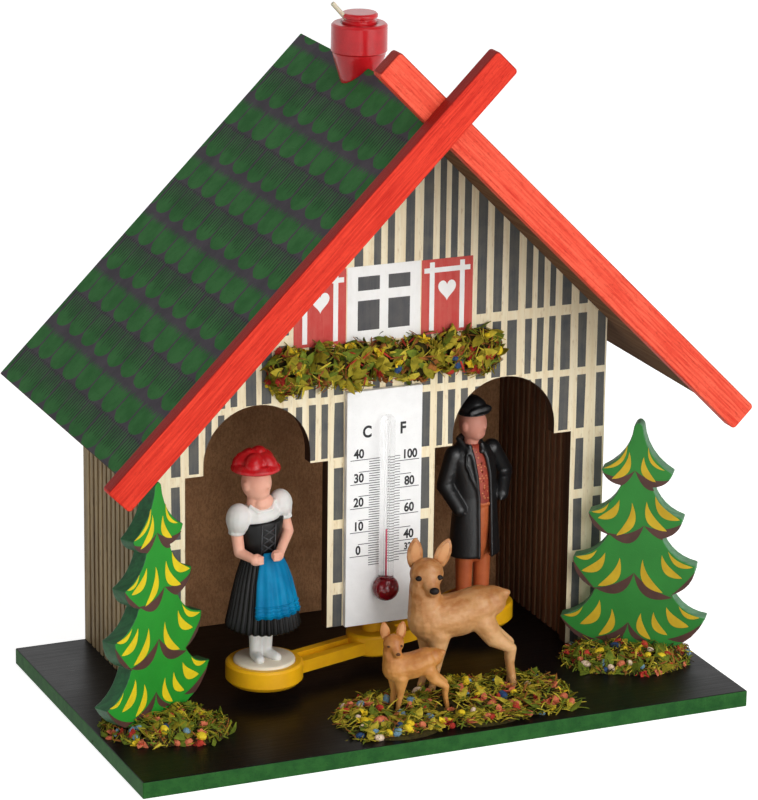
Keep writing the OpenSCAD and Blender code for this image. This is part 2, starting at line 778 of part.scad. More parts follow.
module left_tree_moss() {
    color("olive") difference() {
        translate([-tree_x, tree_y, base_t]) {
            for (m = left_mounds) mound(tree_moss_r * m, m[3] * tree_moss_h);
        }
        left_tree_at() trunk_slot();
    }
}

module right_tree_moss() {
    color("olive") difference() {
        translate([tree_x, tree_y, base_t]) {
            for (m = right_mounds) mound(tree_moss_r * m, m[3] * tree_moss_h);
        }
        right_tree_at() trunk_slot();
    }
}

// Round rooms in the moss for the legs of one deer
module foot_holes() {
    for (place = hooves)
        translate([place[0], place[1], -cut]) cylinder(r = hoof_room, h = deer_model_h);
}

module deer_moss() {
    color("olive") difference() {
        translate([0, front_y, base_t]) {
            for (m = deer_mounds) mound(deer_moss_r * m, m[3] * deer_moss_h);
        }
        doe_at() foot_holes();
        fawn_at() foot_holes();
    }
}

// Garland of moss on the wall under the window: a row of low domes
module window_moss() {
    lumps = 7;
    lump_r = 5.2;
    mid_z = card_z + card_h + garland_gap + lump_r;
    step = (garland_w - 2 * lump_r) / (lumps - 1);
    color("olive") for (i = [0 : lumps - 1])
        translate([-garland_w / 2 + lump_r + i * step, front_y, mid_z + 0.6 * (i % 2)])
            rotate([90, 0, 0]) mound([0, 0, lump_r - 0.7 * (i % 2)], garland_t);
}

// Printed card with a hole behind the bulb
module thermometer_card() {
    color("white") difference() {
        translate([-card_w / 2, card_y, card_z]) cube([card_w, card_t, card_h]);
        translate([0, front_y + cut, bulb_z]) rotate([90, 0, 0])
            cylinder(d = bulb_d + 2 * bulb_room, h = card_t + 2 * cut);
    }
}

// Half profile of a bulb with a round-topped stem above it
module tube_profile(bulb_r, stem_r, top) {
    difference() {
        union() {
            circle(bulb_r);
            square([stem_r, top - stem_r]);
            translate([0, top - stem_r]) circle(stem_r);
        }
        translate([-bulb_r - cut, -bulb_r - cut]) square([bulb_r + cut, top + bulb_r + 2 * cut]);
    }
}

module at_bulb() {
    translate([0, tube_y, bulb_z]) children();
}

module thermometer_glass() {
    color("lightcyan", 0.5) at_bulb() rotate_extrude() difference() {
        tube_profile(bulb_d / 2, tube_d / 2, tube_len);
        tube_profile(bulb_d / 2 - glass_wall, column_d / 2 + fit, tube_len - tube_d / 2 + column_d / 2);
    }
}

module thermometer_spirit() {
    color("darkred") at_bulb() rotate_extrude()
        tube_profile(bulb_d / 2 - glass_wall - fit, column_d / 2, column_len);
}

base_board();
front_wall();
left_side_wall();
right_side_wall();
back_wall();
left_roof_panel();
right_roof_panel();
left_bargeboard();
right_bargeboard();
chimney_tube();
chimney_knob();
gut_tail();
gut_strand();
gut_guide_eye();
figure_arm();
gut_clamp_plug();
woman_figure();
man_figure();
thermometer_card();
thermometer_glass();
thermometer_spirit();
left_tree();
right_tree();
doe();
fawn();
left_tree_moss();
right_tree_moss();
deer_moss();
window_moss();
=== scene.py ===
# %% [markdown]
# # A weather house
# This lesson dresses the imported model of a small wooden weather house. The solids already stand in the
# right place and size, so each step only gives a piece its finish, or swaps a plain solid for a fuller
# mesh. Everything is drawn in millimetres and turned into metres when a mesh is made.

# %% Load the frame
import json
import math
import random

import bmesh
import bpy
from mathutils import Matrix, Vector

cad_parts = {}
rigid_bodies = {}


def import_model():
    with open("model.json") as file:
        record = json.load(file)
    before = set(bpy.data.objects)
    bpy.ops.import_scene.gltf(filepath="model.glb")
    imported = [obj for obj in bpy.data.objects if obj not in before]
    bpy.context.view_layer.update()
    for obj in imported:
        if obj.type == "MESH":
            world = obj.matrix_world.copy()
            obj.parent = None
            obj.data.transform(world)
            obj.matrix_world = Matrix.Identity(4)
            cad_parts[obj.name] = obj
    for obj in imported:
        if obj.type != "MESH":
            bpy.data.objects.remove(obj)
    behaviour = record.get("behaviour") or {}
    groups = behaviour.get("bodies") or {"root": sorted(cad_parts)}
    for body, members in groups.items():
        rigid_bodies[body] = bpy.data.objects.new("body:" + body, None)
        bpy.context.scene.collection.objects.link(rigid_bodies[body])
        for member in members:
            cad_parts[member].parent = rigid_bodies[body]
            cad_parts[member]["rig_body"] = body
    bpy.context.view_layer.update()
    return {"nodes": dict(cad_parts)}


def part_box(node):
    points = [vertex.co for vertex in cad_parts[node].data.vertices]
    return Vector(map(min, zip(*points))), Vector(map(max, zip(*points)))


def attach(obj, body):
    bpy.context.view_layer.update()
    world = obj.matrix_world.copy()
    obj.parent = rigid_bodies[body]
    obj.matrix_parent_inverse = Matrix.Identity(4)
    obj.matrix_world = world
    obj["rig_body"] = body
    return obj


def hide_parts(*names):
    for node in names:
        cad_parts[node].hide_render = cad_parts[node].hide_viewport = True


MM = 0.001
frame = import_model()

# %% [markdown]
# ## The camera
# The photograph was taken from a little left of the middle and a little above the roof's eaves, with a
# long lens. The angles come from lining up the long straight edges of the base, roof and boards. A camera
# matrix built from its right, up and back directions takes the small roll of the picture without any
# extra steps.

# %% Camera at the photograph's viewing angle
PHOTO_HEIGHT = 800
FOCAL_PIXELS = 3991
SENSOR = 36
CAMERA_AZIMUTH = math.radians(-23.505)
CAMERA_ELEVATION = math.radians(17.374)
CAMERA_ROLL = math.radians(0.73)
CAMERA_DISTANCE = 922.15
CAMERA_TARGET = Vector((-0.46, 0, 70.59))


def make_camera():
    back = Vector((math.sin(CAMERA_AZIMUTH) * math.cos(CAMERA_ELEVATION),
                   -math.cos(CAMERA_AZIMUTH) * math.cos(CAMERA_ELEVATION), math.sin(CAMERA_ELEVATION)))
    level = (-back).cross(Vector((0, 0, 1))).normalized()
    upright = level.cross(-back)
    right = level * math.cos(CAMERA_ROLL) + upright * math.sin(CAMERA_ROLL)
    up = upright * math.cos(CAMERA_ROLL) - level * math.sin(CAMERA_ROLL)
    turn = Matrix((right, up, back)).transposed().to_4x4()
    data = bpy.data.cameras.new("camera")
    data.sensor_width = SENSOR
    data.lens = FOCAL_PIXELS * SENSOR / PHOTO_HEIGHT
    camera = bpy.data.objects.new("camera", data)
    bpy.context.collection.objects.link(camera)
    place = (CAMERA_TARGET + back * CAMERA_DISTANCE) * MM
    camera.matrix_world = Matrix.Translation(place) @ turn
    bpy.context.scene.camera = camera
    print("camera lens", round(data.lens, 1), "mm")


make_camera()

# %% [markdown]
# ## Formulas for shaders
# Many finishes here are small drawings: tiles, grain, speckles. Wiring dozens of Math nodes by hand is
# hard to read, so a tiny class lets a pattern be written as a formula, and each operation adds its node
# to the tree.


# %% Shader values that work in formulas
class Wire:
    """A value in a shader tree that can be used in a formula."""

    def __init__(self, tree, socket):
        self.tree = tree
        self.socket = socket

    def math(self, operation, *others):
        node = self.tree.nodes.new("ShaderNodeMath")
        node.operation = operation
        for port, value in zip(node.inputs, (self, *others)):
            connect(self.tree, value, port)
        return Wire(self.tree, node.outputs[0])

    def __add__(self, other):
        return self.math("ADD", other)

    def __sub__(self, other):
        return self.math("SUBTRACT", other)

    def __mul__(self, other):
        return self.math("MULTIPLY", other)

    def __truediv__(self, other):
        return self.math("DIVIDE", other)

    def step(self, low, high):
        """0 at low, 1 at high, with a soft slope between; low may be the larger one."""
        node = self.tree.nodes.new("ShaderNodeMapRange")
        node.interpolation_type = "SMOOTHSTEP"
        connect(self.tree, self, node.inputs["Value"])
        node.inputs["From Min"].default_value = min(low, high)
        node.inputs["From Max"].default_value = max(low, high)
        node.inputs["To Min"].default_value = 0 if low < high else 1
        node.inputs["To Max"].default_value = 1 if low < high else 0
        return Wire(self.tree, node.outputs["Result"])


def connect(tree, value, port):
    """Joins a wire to a port, or sets the port to a plain value."""
    if isinstance(value, Wire):
        tree.links.new(value.socket, port)
    else:
        port.default_value = value


def shader_part(tree, kind, **values):
    """Adds a node; values name its inputs with underscores for spaces."""
    node = tree.nodes.new(kind)
    for name, value in values.items():
        connect(tree, value, node.inputs[name.replace("_", " ")])
    return node


# %% [markdown]
# The few nodes that most finishes need become short functions: noise, a stretched or turned point, a mix
# of two colours, the three parts of a point, and paint, which takes a colour as it is read off a chart.


# %% Helpers for patterns and paint
def noise(tree, point, scale, detail=3, roughness=0.5):
    node = shader_part(tree, "ShaderNodeTexNoise", Vector=point, Scale=scale, Detail=detail,
                       Roughness=roughness)
    return Wire(tree, node.outputs[0])


def mapped(tree, point, scale=(1, 1, 1), turn=(0, 0, 0)):
    node = shader_part(tree, "ShaderNodeMapping", Vector=point, Scale=scale, Rotation=turn)
    return Wire(tree, node.outputs["Vector"])


def mixed(tree, share, first, second):
    """Colour that goes from first to second as share goes from 0 to 1."""
    node = tree.nodes.new("ShaderNodeMix")
    node.data_type = "RGBA"
    connect(tree, share, node.inputs[0])
    connect(tree, first, node.inputs[6])
    connect(tree, second, node.inputs[7])
    return Wire(tree, node.outputs[2])


def split(tree, point):
    node = shader_part(tree, "ShaderNodeSeparateXYZ", Vector=point)
    return [Wire(tree, node.outputs[axis]) for axis in "XYZ"]


def paint(red, green, blue):
    """A colour as a painter reads it off a chart, from 0 to 255, turned into light."""
    shares = [c / 255 for c in (red, green, blue)]
    return (*[s / 12.92 if s < 0.043 else ((s + 0.055) / 1.055) ** 2.4 for s in shares], 1)


print("a mid grey of 128 is", round(paint(128, 128, 128)[0], 3), "in light")

# %% [markdown]
# ## Starting a finish
# Each finish starts from a Principled shader with its plain numbers set on its own sockets. `point` gives
# the place on the object in millimetres and `facing` the direction of the surface, for patterns that
# depend on them.


# %% Helpers for finishes
class Finish:
    """A material with the shader, the place in millimetres and the facing at hand."""

    def __init__(self, name, **plain):
        self.material = bpy.data.materials.new(name)
        self.material.use_nodes = True
        self.tree = self.material.node_tree
        self.shader = self.tree.nodes["Principled BSDF"]
        for socket, value in plain.items():
            self.set(socket, value)
        place = self.tree.nodes.new("ShaderNodeTexCoord")
        scaled = self.tree.nodes.new("ShaderNodeVectorMath")
        scaled.operation = "SCALE"
        scaled.inputs["Scale"].default_value = 1 / MM
        self.tree.links.new(place.outputs["Object"], scaled.inputs[0])
        self.point = Wire(self.tree, scaled.outputs[0])
        surface = self.tree.nodes.new("ShaderNodeNewGeometry")
        self.facing = Wire(self.tree, surface.outputs["Normal"])

    def set(self, socket, value):
        connect(self.tree, value, self.shader.inputs[socket.replace("_", " ")])

    def bump(self, height, depth):
        """Raises the surface by height, where 1 is depth in millimetres."""
        node = shader_part(self.tree, "ShaderNodeBump", Height=height, Strength=1.0, Distance=depth * MM)
        self.tree.links.new(node.outputs["Normal"], self.shader.inputs["Normal"])

    def noise(self, scale, detail=3, roughness=0.5, stretch=(1, 1, 1)):
        return noise(self.tree, mapped(self.tree, self.point, stretch), scale, detail, roughness)

    def mixed(self, share, first, second):
        return mixed(self.tree, share, first, second)

    def group(self, group, **values):
        """Places a shader group and returns its outputs by name."""
        node = self.tree.nodes.new("ShaderNodeGroup")
        node.node_tree = group
        for name, value in values.items():
            connect(self.tree, value, node.inputs[name.replace("_", " ")])
        return {port.name: Wire(self.tree, port) for port in node.outputs}


def shader_group(name, inputs, outputs):
    """An empty shader group; inputs and outputs map socket names to kinds of socket."""
    group = bpy.data.node_groups.new(name, "ShaderNodeTree")
    for way, sockets in (("INPUT", inputs), ("OUTPUT", outputs)):
        for socket, kind in sockets.items():
            group.interface.new_socket(socket, in_out=way, socket_type="NodeSocket" + kind)
    way_in = group.nodes.new("NodeGroupInput")
    way_out = group.nodes.new("NodeGroupOutput")
    return group, {port.name: Wire(group, port) for port in way_in.outputs if port.name}, way_out.inputs


# %% [markdown]
# ## Wood grain for many boards
# Boards, panels and cut-outs are all wood, so the grain is one shader group. It expects a point whose X
# runs along the grain, and puts out broad streaks, where the year rings meet the surface, and short dark
# pores.


# %% Shader group: wood grain
def make_wood_grain():
    group, given, out = shader_group("wood_grain", {"Point": "Vector", "Ring Width": "Float"},
                                     {"Streak": "Float", "Pore": "Float"})
    streak_run = 0.035
    pore_run = 0.16
    pores_per_ring = 2.6
    frequency = given["Ring Width"].math("POWER", -1.0)
    for name, run, share, low, high in (("Streak", streak_run, 1, 0.32, 0.68),
                                        ("Pore", pore_run, pores_per_ring, 0.56, 0.74)):
        stretched = mapped(group, given["Point"], (run, 1, 1))
        pattern = noise(group, stretched, frequency * share, 4, 0.6).step(low, high)
        connect(group, pattern, out[name])
    return group


wood_grain = make_wood_grain()
ALONG_X = (0, 0, 0)
ALONG_Y = (0, 0, math.radians(-90))
ALONG_Z = (0, math.radians(90), 0)
UP_TO_THE_RIGHT = (0, math.radians(45), 0)
DOWN_TO_THE_RIGHT = (0, math.radians(-45), 0)


def grain_of(finish, along, ring_width):
    """Streaks and pores that run one way on a finish."""
    point = mapped(finish.tree, finish.point, turn=along)
    made = finish.group(wood_grain, Point=point, Ring_Width=ring_width)
    return made["Streak"], made["Pore"]


print("grain gives", [port.name for port in wood_grain.interface.items_tree if port.in_out == "OUTPUT"])

# %% [markdown]
# ## Mottling for paint and print
# Brushed paint and printed ink are never quite even. A second group gives broad mottling and fine specks,
# and each finish takes as much of either as it shows.


# %% Shader group: uneven colour
def make_uneven():
    group, given, out = shader_group("uneven_colour", {"Point": "Vector", "Patch": "Float"},
                                     {"Mottle": "Float", "Speck": "Float"})
    specks_per_patch = 9
    frequency = given["Patch"].math("POWER", -1.0)
    mottle = noise(group, given["Point"], frequency, 4, 0.55)
    speck = noise(group, given["Point"], frequency * specks_per_patch, 2, 0.5)
    connect(group, mottle.step(0.3, 0.7), out["Mottle"])
    connect(group, speck.step(0.55, 0.75), out["Speck"])
    return group


uneven = make_uneven()


def uneven_of(finish, patch):
    made = finish.group(uneven, Point=finish.point, Patch=patch)
    return made["Mottle"], made["Speck"]


print("groups:", sorted(g.name for g in bpy.data.node_groups))

# %% [markdown]
# ## Sizes read from the frame
# The drawings on the walls and roof line up with the solids, so their limits are read from the solids'
# own boxes.


# %% Sizes of the house
def box_mm(node):
    low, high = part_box(node)
    return low / MM, high / MM


FRONT_Y = box_mm("front_wall")[0].y
RIDGE_Z = box_mm("left_roof_panel")[1].z
BASE_TOP = box_mm("base_board")[1].z
print("front wall at y", round(FRONT_Y, 2), "ridge at z", round(RIDGE_Z, 1), "mm")

# %% [markdown]
# ## Placing pieces
# A piece is a mesh in millimetres that rides on a body, takes its finishes as material slots, and may
# stand for a solid. Flat ink and paint are thin prisms: an outline in the plane of the board, raised by a
# few hundredths.


# %% Helpers for pieces
def add_piece(name, mesh, body, finishes, smooth=True, stands_for=()):
    """Hangs a mesh on a body, with its finishes and the solids that it stands for."""
    for finish in finishes:
        mesh.materials.append(finish.material)
    mesh.polygons.foreach_set("use_smooth", [smooth] * len(mesh.polygons))
    piece = bpy.data.objects.new(name, mesh)
    bpy.context.collection.objects.link(piece)
    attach(piece, body)
    if stands_for:
        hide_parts(*stands_for)
    return piece


# %% [markdown]
# A drawing collects points and faces until its mesh is made. It can be set in a place, so a figure or a
# tree is drawn round its own zero and still lands where its solid stands.


# %% Drawings
class Drawing:
    """Collects points and faces in millimetres, set in a place, and turns them into one mesh."""

    def __init__(self, place=None):
        self.place = place or Matrix()
        self.points = []
        self.faces = []
        self.looks = []

    def add(self, points, faces, look=0):
        start = len(self.points)
        self.points += [self.place @ Vector(p) for p in points]
        self.faces += [[start + i for i in face] for face in faces]
        self.looks += [look] * len(faces)

    def prism(self, outline, place, low, high, look=0):
        """A flat outline between two depths; place turns (u, v, depth) into a point."""
        count = len(outline)
        points = [place(u, v, depth) for depth in (low, high) for u, v in outline]
        sides = [[i, (i + 1) % count, count + (i + 1) % count, count + i] for i in range(count)]
        self.add(points, [list(range(count))[::-1], list(range(count, 2 * count)), *sides], look)

    def mesh(self, name):
        mesh = bpy.data.meshes.new(name)
        mesh.from_pydata([p * MM for p in self.points], [], self.faces)
        mesh.polygons.foreach_set("material_index", self.looks)
        shape = bmesh.new()
        shape.from_mesh(mesh)
        bmesh.ops.recalc_face_normals(shape, faces=shape.faces)
        shape.to_mesh(mesh)
        shape.free()
        return mesh


# %% [markdown]
# Most solids keep their form and only lose their sharp edges, because no sawn or moulded edge is
# perfectly sharp. The flat faces are first joined from the solid's triangles, so a bevel finds only the
# real edges.

# %% Eased copies of solids
WELD = 0.001
SAME_PLANE = math.radians(0.5)
SHARP = math.radians(30)


def welded(node):
    """A copy of a solid whose faces share their corners."""
    shape = bmesh.new()
    shape.from_mesh(frame["nodes"][node].data)
    bmesh.ops.remove_doubles(shape, verts=shape.verts, dist=WELD * MM)
    return shape


def softened(node, width, finish):
    """A copy of a solid with its sharp edges eased, which stands for the solid."""
    shape = welded(node)
    bmesh.ops.dissolve_limit(shape, angle_limit=SAME_PLANE, verts=shape.verts, edges=shape.edges)
    sharp = [e for e in shape.edges if len(e.link_faces) == 2 and e.calc_face_angle() > SHARP]
    if width:
        bmesh.ops.bevel(shape, geom=sharp, offset=width * MM, segments=2, profile=0.5, affect="EDGES",
                        clamp_overlap=True)
    bmesh.ops.triangulate(shape, faces=[f for f in shape.faces if len(f.verts) > 4])
    mesh = bpy.data.meshes.new(node)
    shape.to_mesh(mesh)
    shape.free()
    piece = add_piece(node + "_eased", mesh, frame["nodes"][node]["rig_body"], [finish], True, [node])
    even = piece.modifiers.new("even", "WEIGHTED_NORMAL")
    even.weight = 100
    return piece


# %% [markdown]
# ## Stained bargeboards
# The crossed boards are soft wood under a thin orange-red stain, so the grain shows through along each
# board. The faces that look up are painted a deeper red as painted shade, and the right board is painted
# lighter and pinker than the left as a painted sheen. One function makes both.


# %% Bargeboards
def stained_wood(name, along, light, dark):
    finish = Finish(name, Roughness=0.55, Specular_IOR_Level=0.15)
    streak, pore = grain_of(finish, along, 0.5)
    mottle, speck = uneven_of(finish, 6.0)
    colour = finish.mixed(streak, light, dark)
    colour = finish.mixed(mottle * 0.3, colour, light)
    colour = finish.mixed(pore * 0.4, colour, paint(164, 28, 20))
    colour = finish.mixed(speck * 0.25, colour, paint(188, 40, 28))
    # Painted shade: faces that look up are painted a deeper red, as if less light fell on them.
    up = split(finish.tree, finish.facing)[2].step(0.2, 0.6)
    colour = finish.mixed(up * 0.85, colour, paint(144, 28, 24))
    finish.set("Base_Color", colour)
    finish.bump(streak * -0.5 - pore, 0.08)
    return finish


BOARD_EASE = 0.35
# Painted sheen: the right board is painted lighter and pinker than the left, for a broad sheen of light on
# it.
left_board_stain = stained_wood("stain_left", UP_TO_THE_RIGHT, paint(230, 63, 41), paint(194, 32, 18))
right_stain_with_painted_sheen = stained_wood("stain_right", DOWN_TO_THE_RIGHT, paint(246, 100, 74), paint(218, 56, 38))
softened("left_bargeboard", BOARD_EASE, left_board_stain)
softened("right_bargeboard", BOARD_EASE, right_stain_with_painted_sheen)
print("bargeboards eased by", BOARD_EASE, "mm")

# %% [markdown]
# ## Roof panels with printed tiles
# The panels are plywood printed with rows of round-ended tiles. Each double row has a short row, whose
# ends cover the tops of a longer row, then a dark gap. The whole print is one formula of the distance
# down the slope and the place along the ridge, so it stays sharp at any distance. Underneath the panels
# are plain brown wood.


# %% Roof print
TILE_PITCH = 8.8
TILE_GAP = 0.35
ROW_PERIOD = 17.6
ROW_START = 1.7
SHORT_ROW = (2.3, 8.7)
LONG_ROW = (8.0, 17.6)
HATCH = (9.2, 13.4)
HATCH_PITCH = 1.2
TILE_END = 3.7
TILE_TOP = 1.6


def tile_row(down, along, limits, shift):
    """Mask of one row of tiles: flat at the top, round at the lower end."""
    half = TILE_PITCH / 2
    across = ((along / TILE_PITCH + shift).math("FRACT") - 0.5) * TILE_PITCH
    width = across.math("ABSOLUTE")
    round_end = (width / half).math("POWER", 2.0) * -1.0 + 1.0
    end = round_end.math("MAXIMUM", 0.0).math("SQRT") * TILE_END + (limits[1] - TILE_END)
    inside = (end - down).step(-0.12, 0.12) * (down - limits[0] + TILE_TOP).step(-0.1, 0.1)
    return inside * width.step(half - TILE_GAP + 0.1, half - TILE_GAP - 0.1)


def roof_print():
    finish = Finish("roof_print", Specular_IOR_Level=0.12)
    tree = finish.tree
    _, y, z = split(tree, finish.point)
    down_slope = (z * -1.0 + RIDGE_Z) * math.sqrt(2)
    wobble = finish.noise(0.5, 2) * 0.5 - 0.25
    down = ((down_slope + wobble - ROW_START) / ROW_PERIOD).math("FRACT") * ROW_PERIOD
    along = y + wobble
    ragged = finish.noise(0.9, 2, stretch=(0.1, 1, 0.1)) * 4.0 - 2.0
    stripe = ((along / HATCH_PITCH).math("FRACT") - 0.5).math("ABSOLUTE")
    pale_line = stripe.step(0.24, 0.34)
    short_top = (down + stripe * 3.0 + ragged * 0.3).step(SHORT_ROW[0] - 0.2, SHORT_ROW[0] + 0.8)
    short_row = tile_row(down, along, SHORT_ROW, 0.05) * short_top
    long_row = tile_row(down, along, LONG_ROW, 0.55)
    lines = (down + ragged * 0.4).step(HATCH[0] - 0.4, HATCH[0] + 0.3) * pale_line
    emerging = (down + ragged).step(*HATCH).math("MAXIMUM", lines * 0.9)
    tiles = short_row.math("MAXIMUM", long_row * emerging)
    under_short = down.step(SHORT_ROW[1] - 0.5, SHORT_ROW[1]) * (down + ragged).step(HATCH[1] + 2.0, HATCH[1])
    hatch = stripe.step(0.2, 0.1) * under_short
    mottle, speck = uneven_of(finish, 6.0)
    green = finish.mixed(mottle, paint(44, 101, 49), paint(61, 118, 63))
    ground = finish.mixed(mottle, paint(71, 66, 73), paint(83, 77, 84))
    colour = finish.mixed(tiles, ground, green)
    colour = finish.mixed(hatch, colour, paint(34, 42, 36))
    colour = finish.mixed(speck * 0.2, colour, paint(40, 42, 40))
    facing = split(tree, finish.facing)[2]
    finish.set("Roughness", facing.step(-0.1, 0.1) * -0.3 + 1.0)
    streak, pore = grain_of(finish, ALONG_Y, 2.0)
    bare = finish.mixed(streak, paint(128, 94, 66), paint(104, 74, 52))
    colour = finish.mixed(facing.step(0.1, 0.3), finish.mixed(pore * 0.5, bare, paint(70, 48, 34)), colour)
    edge = facing.math("ABSOLUTE").step(0.3, 0.1)
    sawn = finish.mixed(mottle, paint(40, 62, 42), paint(52, 70, 50))
    finish.set("Base_Color", finish.mixed(edge, colour, sawn))
    finish.bump(pore * -1.0 + speck * 0.5, 0.05)
    return finish


roof_finish = roof_print()
for side in ("left", "right"):
    softened(side + "_roof_panel", 0.25, roof_finish)
print("roof print period", ROW_PERIOD, "mm")

# %% [markdown]
# ## Base board
# The base is plywood painted black on top with a satin gloss, and stained green round its edges. The
# grain of the veneer runs along the front and shows in the gloss as fine streaks.


# %% Base board
def base_paint():
    finish = Finish("base_paint", Specular_IOR_Level=0.15)
    streak, pore = grain_of(finish, ALONG_X, 1.3)
    mottle, speck = uneven_of(finish, 12.0)
    black = finish.mixed(streak, paint(10, 8, 9), paint(16, 13, 14))
    blotch, fleck = uneven_of(finish, 2.4)
    green = finish.mixed(blotch, paint(24, 76, 28), paint(40, 94, 38))
    green = finish.mixed(fleck * 0.6, green, paint(20, 50, 26))
    top = split(finish.tree, finish.facing)[2].step(0.5, 0.8)
    finish.set("Base_Color", finish.mixed(top, green, black))
    finish.set("Roughness", (mottle * 0.08 + streak * 0.06 + 0.3) * top + (top * -0.6 + 0.6))
    finish.bump(streak * 0.4 - pore * 0.5 - speck * 0.2, 0.03)
    return finish


softened("base_board", 0.3, base_paint())
print("base painted, its top at z", round(BASE_TOP, 2), "mm")

# %% [markdown]
# ## Boards of the house
# The front is a pale board with dark sawn edges; the side walls are grooved boards, light outside and
# darker brown inside; the back is brown hardboard pressed from fibres, with specks instead of grain.


# %% Front, side and back walls
def front_wood():
    """Pale board; the sawn edges round the doorways are dark."""
    finish = Finish("cream_wood", Roughness=0.6, Specular_IOR_Level=0.25)
    streak, pore = grain_of(finish, ALONG_Z, 1.0)
    mottle, _ = uneven_of(finish, 8.0)
    pale = paint(250, 238, 207)
    colour = finish.mixed(streak, pale, paint(240, 221, 181))
    colour = finish.mixed(mottle * 0.3, colour, pale)
    colour = finish.mixed(pore * 0.5, colour, paint(192, 156, 104))
    sawn = split(finish.tree, finish.facing)[1].math("ABSOLUTE").step(0.7, 0.4)
    dark = finish.mixed(streak, paint(74, 48, 32), paint(50, 32, 22))
    finish.set("Base_Color", finish.mixed(sawn, colour, dark))
    finish.bump(streak * -0.4 - pore, 0.05)
    return finish


def side_wood(name, inside):
    """Grooved side wall: pale outside, darker brown on the face that looks into the room."""
    finish = Finish(name, Roughness=0.62, Specular_IOR_Level=0.25)
    streak, pore = grain_of(finish, ALONG_Z, 1.6)
    mottle, _ = uneven_of(finish, 14.0)
    pale = finish.mixed(streak, paint(188, 164, 122), paint(138, 116, 84))
    pale = finish.mixed(mottle * 0.4, pale, paint(120, 108, 86))
    inner_brown = finish.mixed(streak, paint(122, 78, 52), paint(88, 54, 36))
    inner = (split(finish.tree, finish.facing)[0] * inside).step(-0.2, 0.2)
    colour = finish.mixed(inner, pale, inner_brown)
    finish.set("Base_Color", finish.mixed(pore * 0.6, colour, paint(64, 44, 30)))
    finish.bump(streak * -0.4 - pore, 0.06)
    return finish


def hardboard():
    finish = Finish("hardboard", Roughness=0.7, Specular_IOR_Level=0.25)
    mottle, speck = uneven_of(finish, 5.0)
    fibre = finish.noise(2.4, 4, 0.7, (1, 1, 0.5)).step(0.4, 0.62)
    colour = finish.mixed(mottle, paint(192, 142, 98), paint(168, 120, 82))
    colour = finish.mixed(fibre * 0.55, colour, paint(132, 92, 62))
    finish.set("Base_Color", finish.mixed(speck * 0.5, colour, paint(190, 146, 104)))
    finish.bump(fibre, 0.06)
    return finish


softened("front_wall", 0.2, front_wood())
softened("left_side_wall", 0.12, side_wood("side_wood_left", 1.0))
softened("right_side_wall", 0.12, side_wood("side_wood_right", -1.0))
softened("back_wall", 0.12, hardboard())
print("walls dressed")

# %% [markdown]
# ## Ink on the front wall
# Dark bars stand in rows between plain cream rails, alike on both sides of the middle. They could be a
# texture, but thin raised ink keeps a sharp edge at any distance. Each bar is a shallow prism, and a
# Boolean keeps only what lies on the wall, so arches and slopes cut the bars just as the saw cut the
# printed board.

# %% Printed bars
INK = 0.05
INK_ROOT = -0.2
ROWS = ((0, 24.5), (27.5, 40.6), (43, 55.6), (58.2, 71.5), (73.2, 86.6), (89, 150))
BARS = ((1.7, 1.7), (6.4, 2.1), (10.9, 2.4), (14.5, 1.5), (17.5, 1.7), (20.8, 1.7), (24.7, 2.4), (28.8, 2.3),
        (32.7, 2.5), (36.9, 1.6), (39.9, 1.7), (43, 1.5), (46.6, 2.5), (51, 2.2), (56, 2))


def on_wall(u, v, depth):
    return Vector((u, FRONT_Y - depth, v))


def ink_finish(name, colour, worn, share):
    """Ink on wood: the grain below shows as thin upright breaks in the colour."""
    finish = Finish(name, Roughness=0.55, Specular_IOR_Level=0.25)
    streak, pore = grain_of(finish, ALONG_Z, 0.8)
    mottle, _ = uneven_of(finish, 4.0)
    shade = finish.mixed(mottle * 0.4, colour, worn)
    finish.set("Base_Color", finish.mixed((streak + pore) * share, shade, worn))
    finish.bump(streak * -0.3 - pore, 0.04)
    return finish


def evaluated_mesh(piece):
    """The mesh that an object has after its modifiers."""
    return bpy.data.meshes.new_from_object(piece.evaluated_get(bpy.context.evaluated_depsgraph_get()))


def kept_on(node, mesh, lift):
    """Keeps what lies within a solid that is moved by lift, which gives the print its thickness."""
    shape = welded(node)
    bmesh.ops.translate(shape, verts=shape.verts, vec=Vector(lift) * MM)
    board_mesh = bpy.data.meshes.new("board_cutter")
    shape.to_mesh(board_mesh)
    shape.free()
    board = bpy.data.objects.new("board_cutter", board_mesh)
    ink = bpy.data.objects.new("raw_print", mesh)
    for thing in (board, ink):
        bpy.context.collection.objects.link(thing)
    cut = ink.modifiers.new("keep", "BOOLEAN")
    cut.operation = "INTERSECT"
    cut.object = board
    cut.use_self = True
    made = evaluated_mesh(ink)
    for thing in (board, ink):
        bpy.data.objects.remove(thing)
    return made


def printed_bars():
    rng = random.Random(7)
    drawing = Drawing()
    for low, high in ROWS:
        for middle, width in BARS:
            for side in (-1, 1):
                shake = [rng.uniform(-0.14, 0.14) for _ in range(6)]
                left = side * middle - width / 2
                right = side * middle + width / 2
                outline = [(left + shake[0], low + shake[4]), (right + shake[1], low + shake[4]),
                           (right + shake[2], high + shake[5]), (left + shake[3], high + shake[5])]
                drawing.prism(outline, on_wall, INK_ROOT, 0.5)
    return kept_on("front_wall", drawing.mesh("printed_bars"), (0, -INK, 0))


charcoal = ink_finish("charcoal_ink", paint(74, 77, 80), paint(116, 112, 102), 0.3)
bars = add_piece("printed_bars", printed_bars(), "house", [charcoal], False)
print("bars made:", len(BARS) * 2 * len(ROWS), "faces kept:", len(bars.data.polygons))

# %% [markdown]
# ## Painted window and shutters
# The window is only ink too: a white frame with four grey panes, and a red shutter on each side with
# white battens and a heart. Each layer lies a few hundredths of a millimetre over the last, as
# screen-printed colours do.

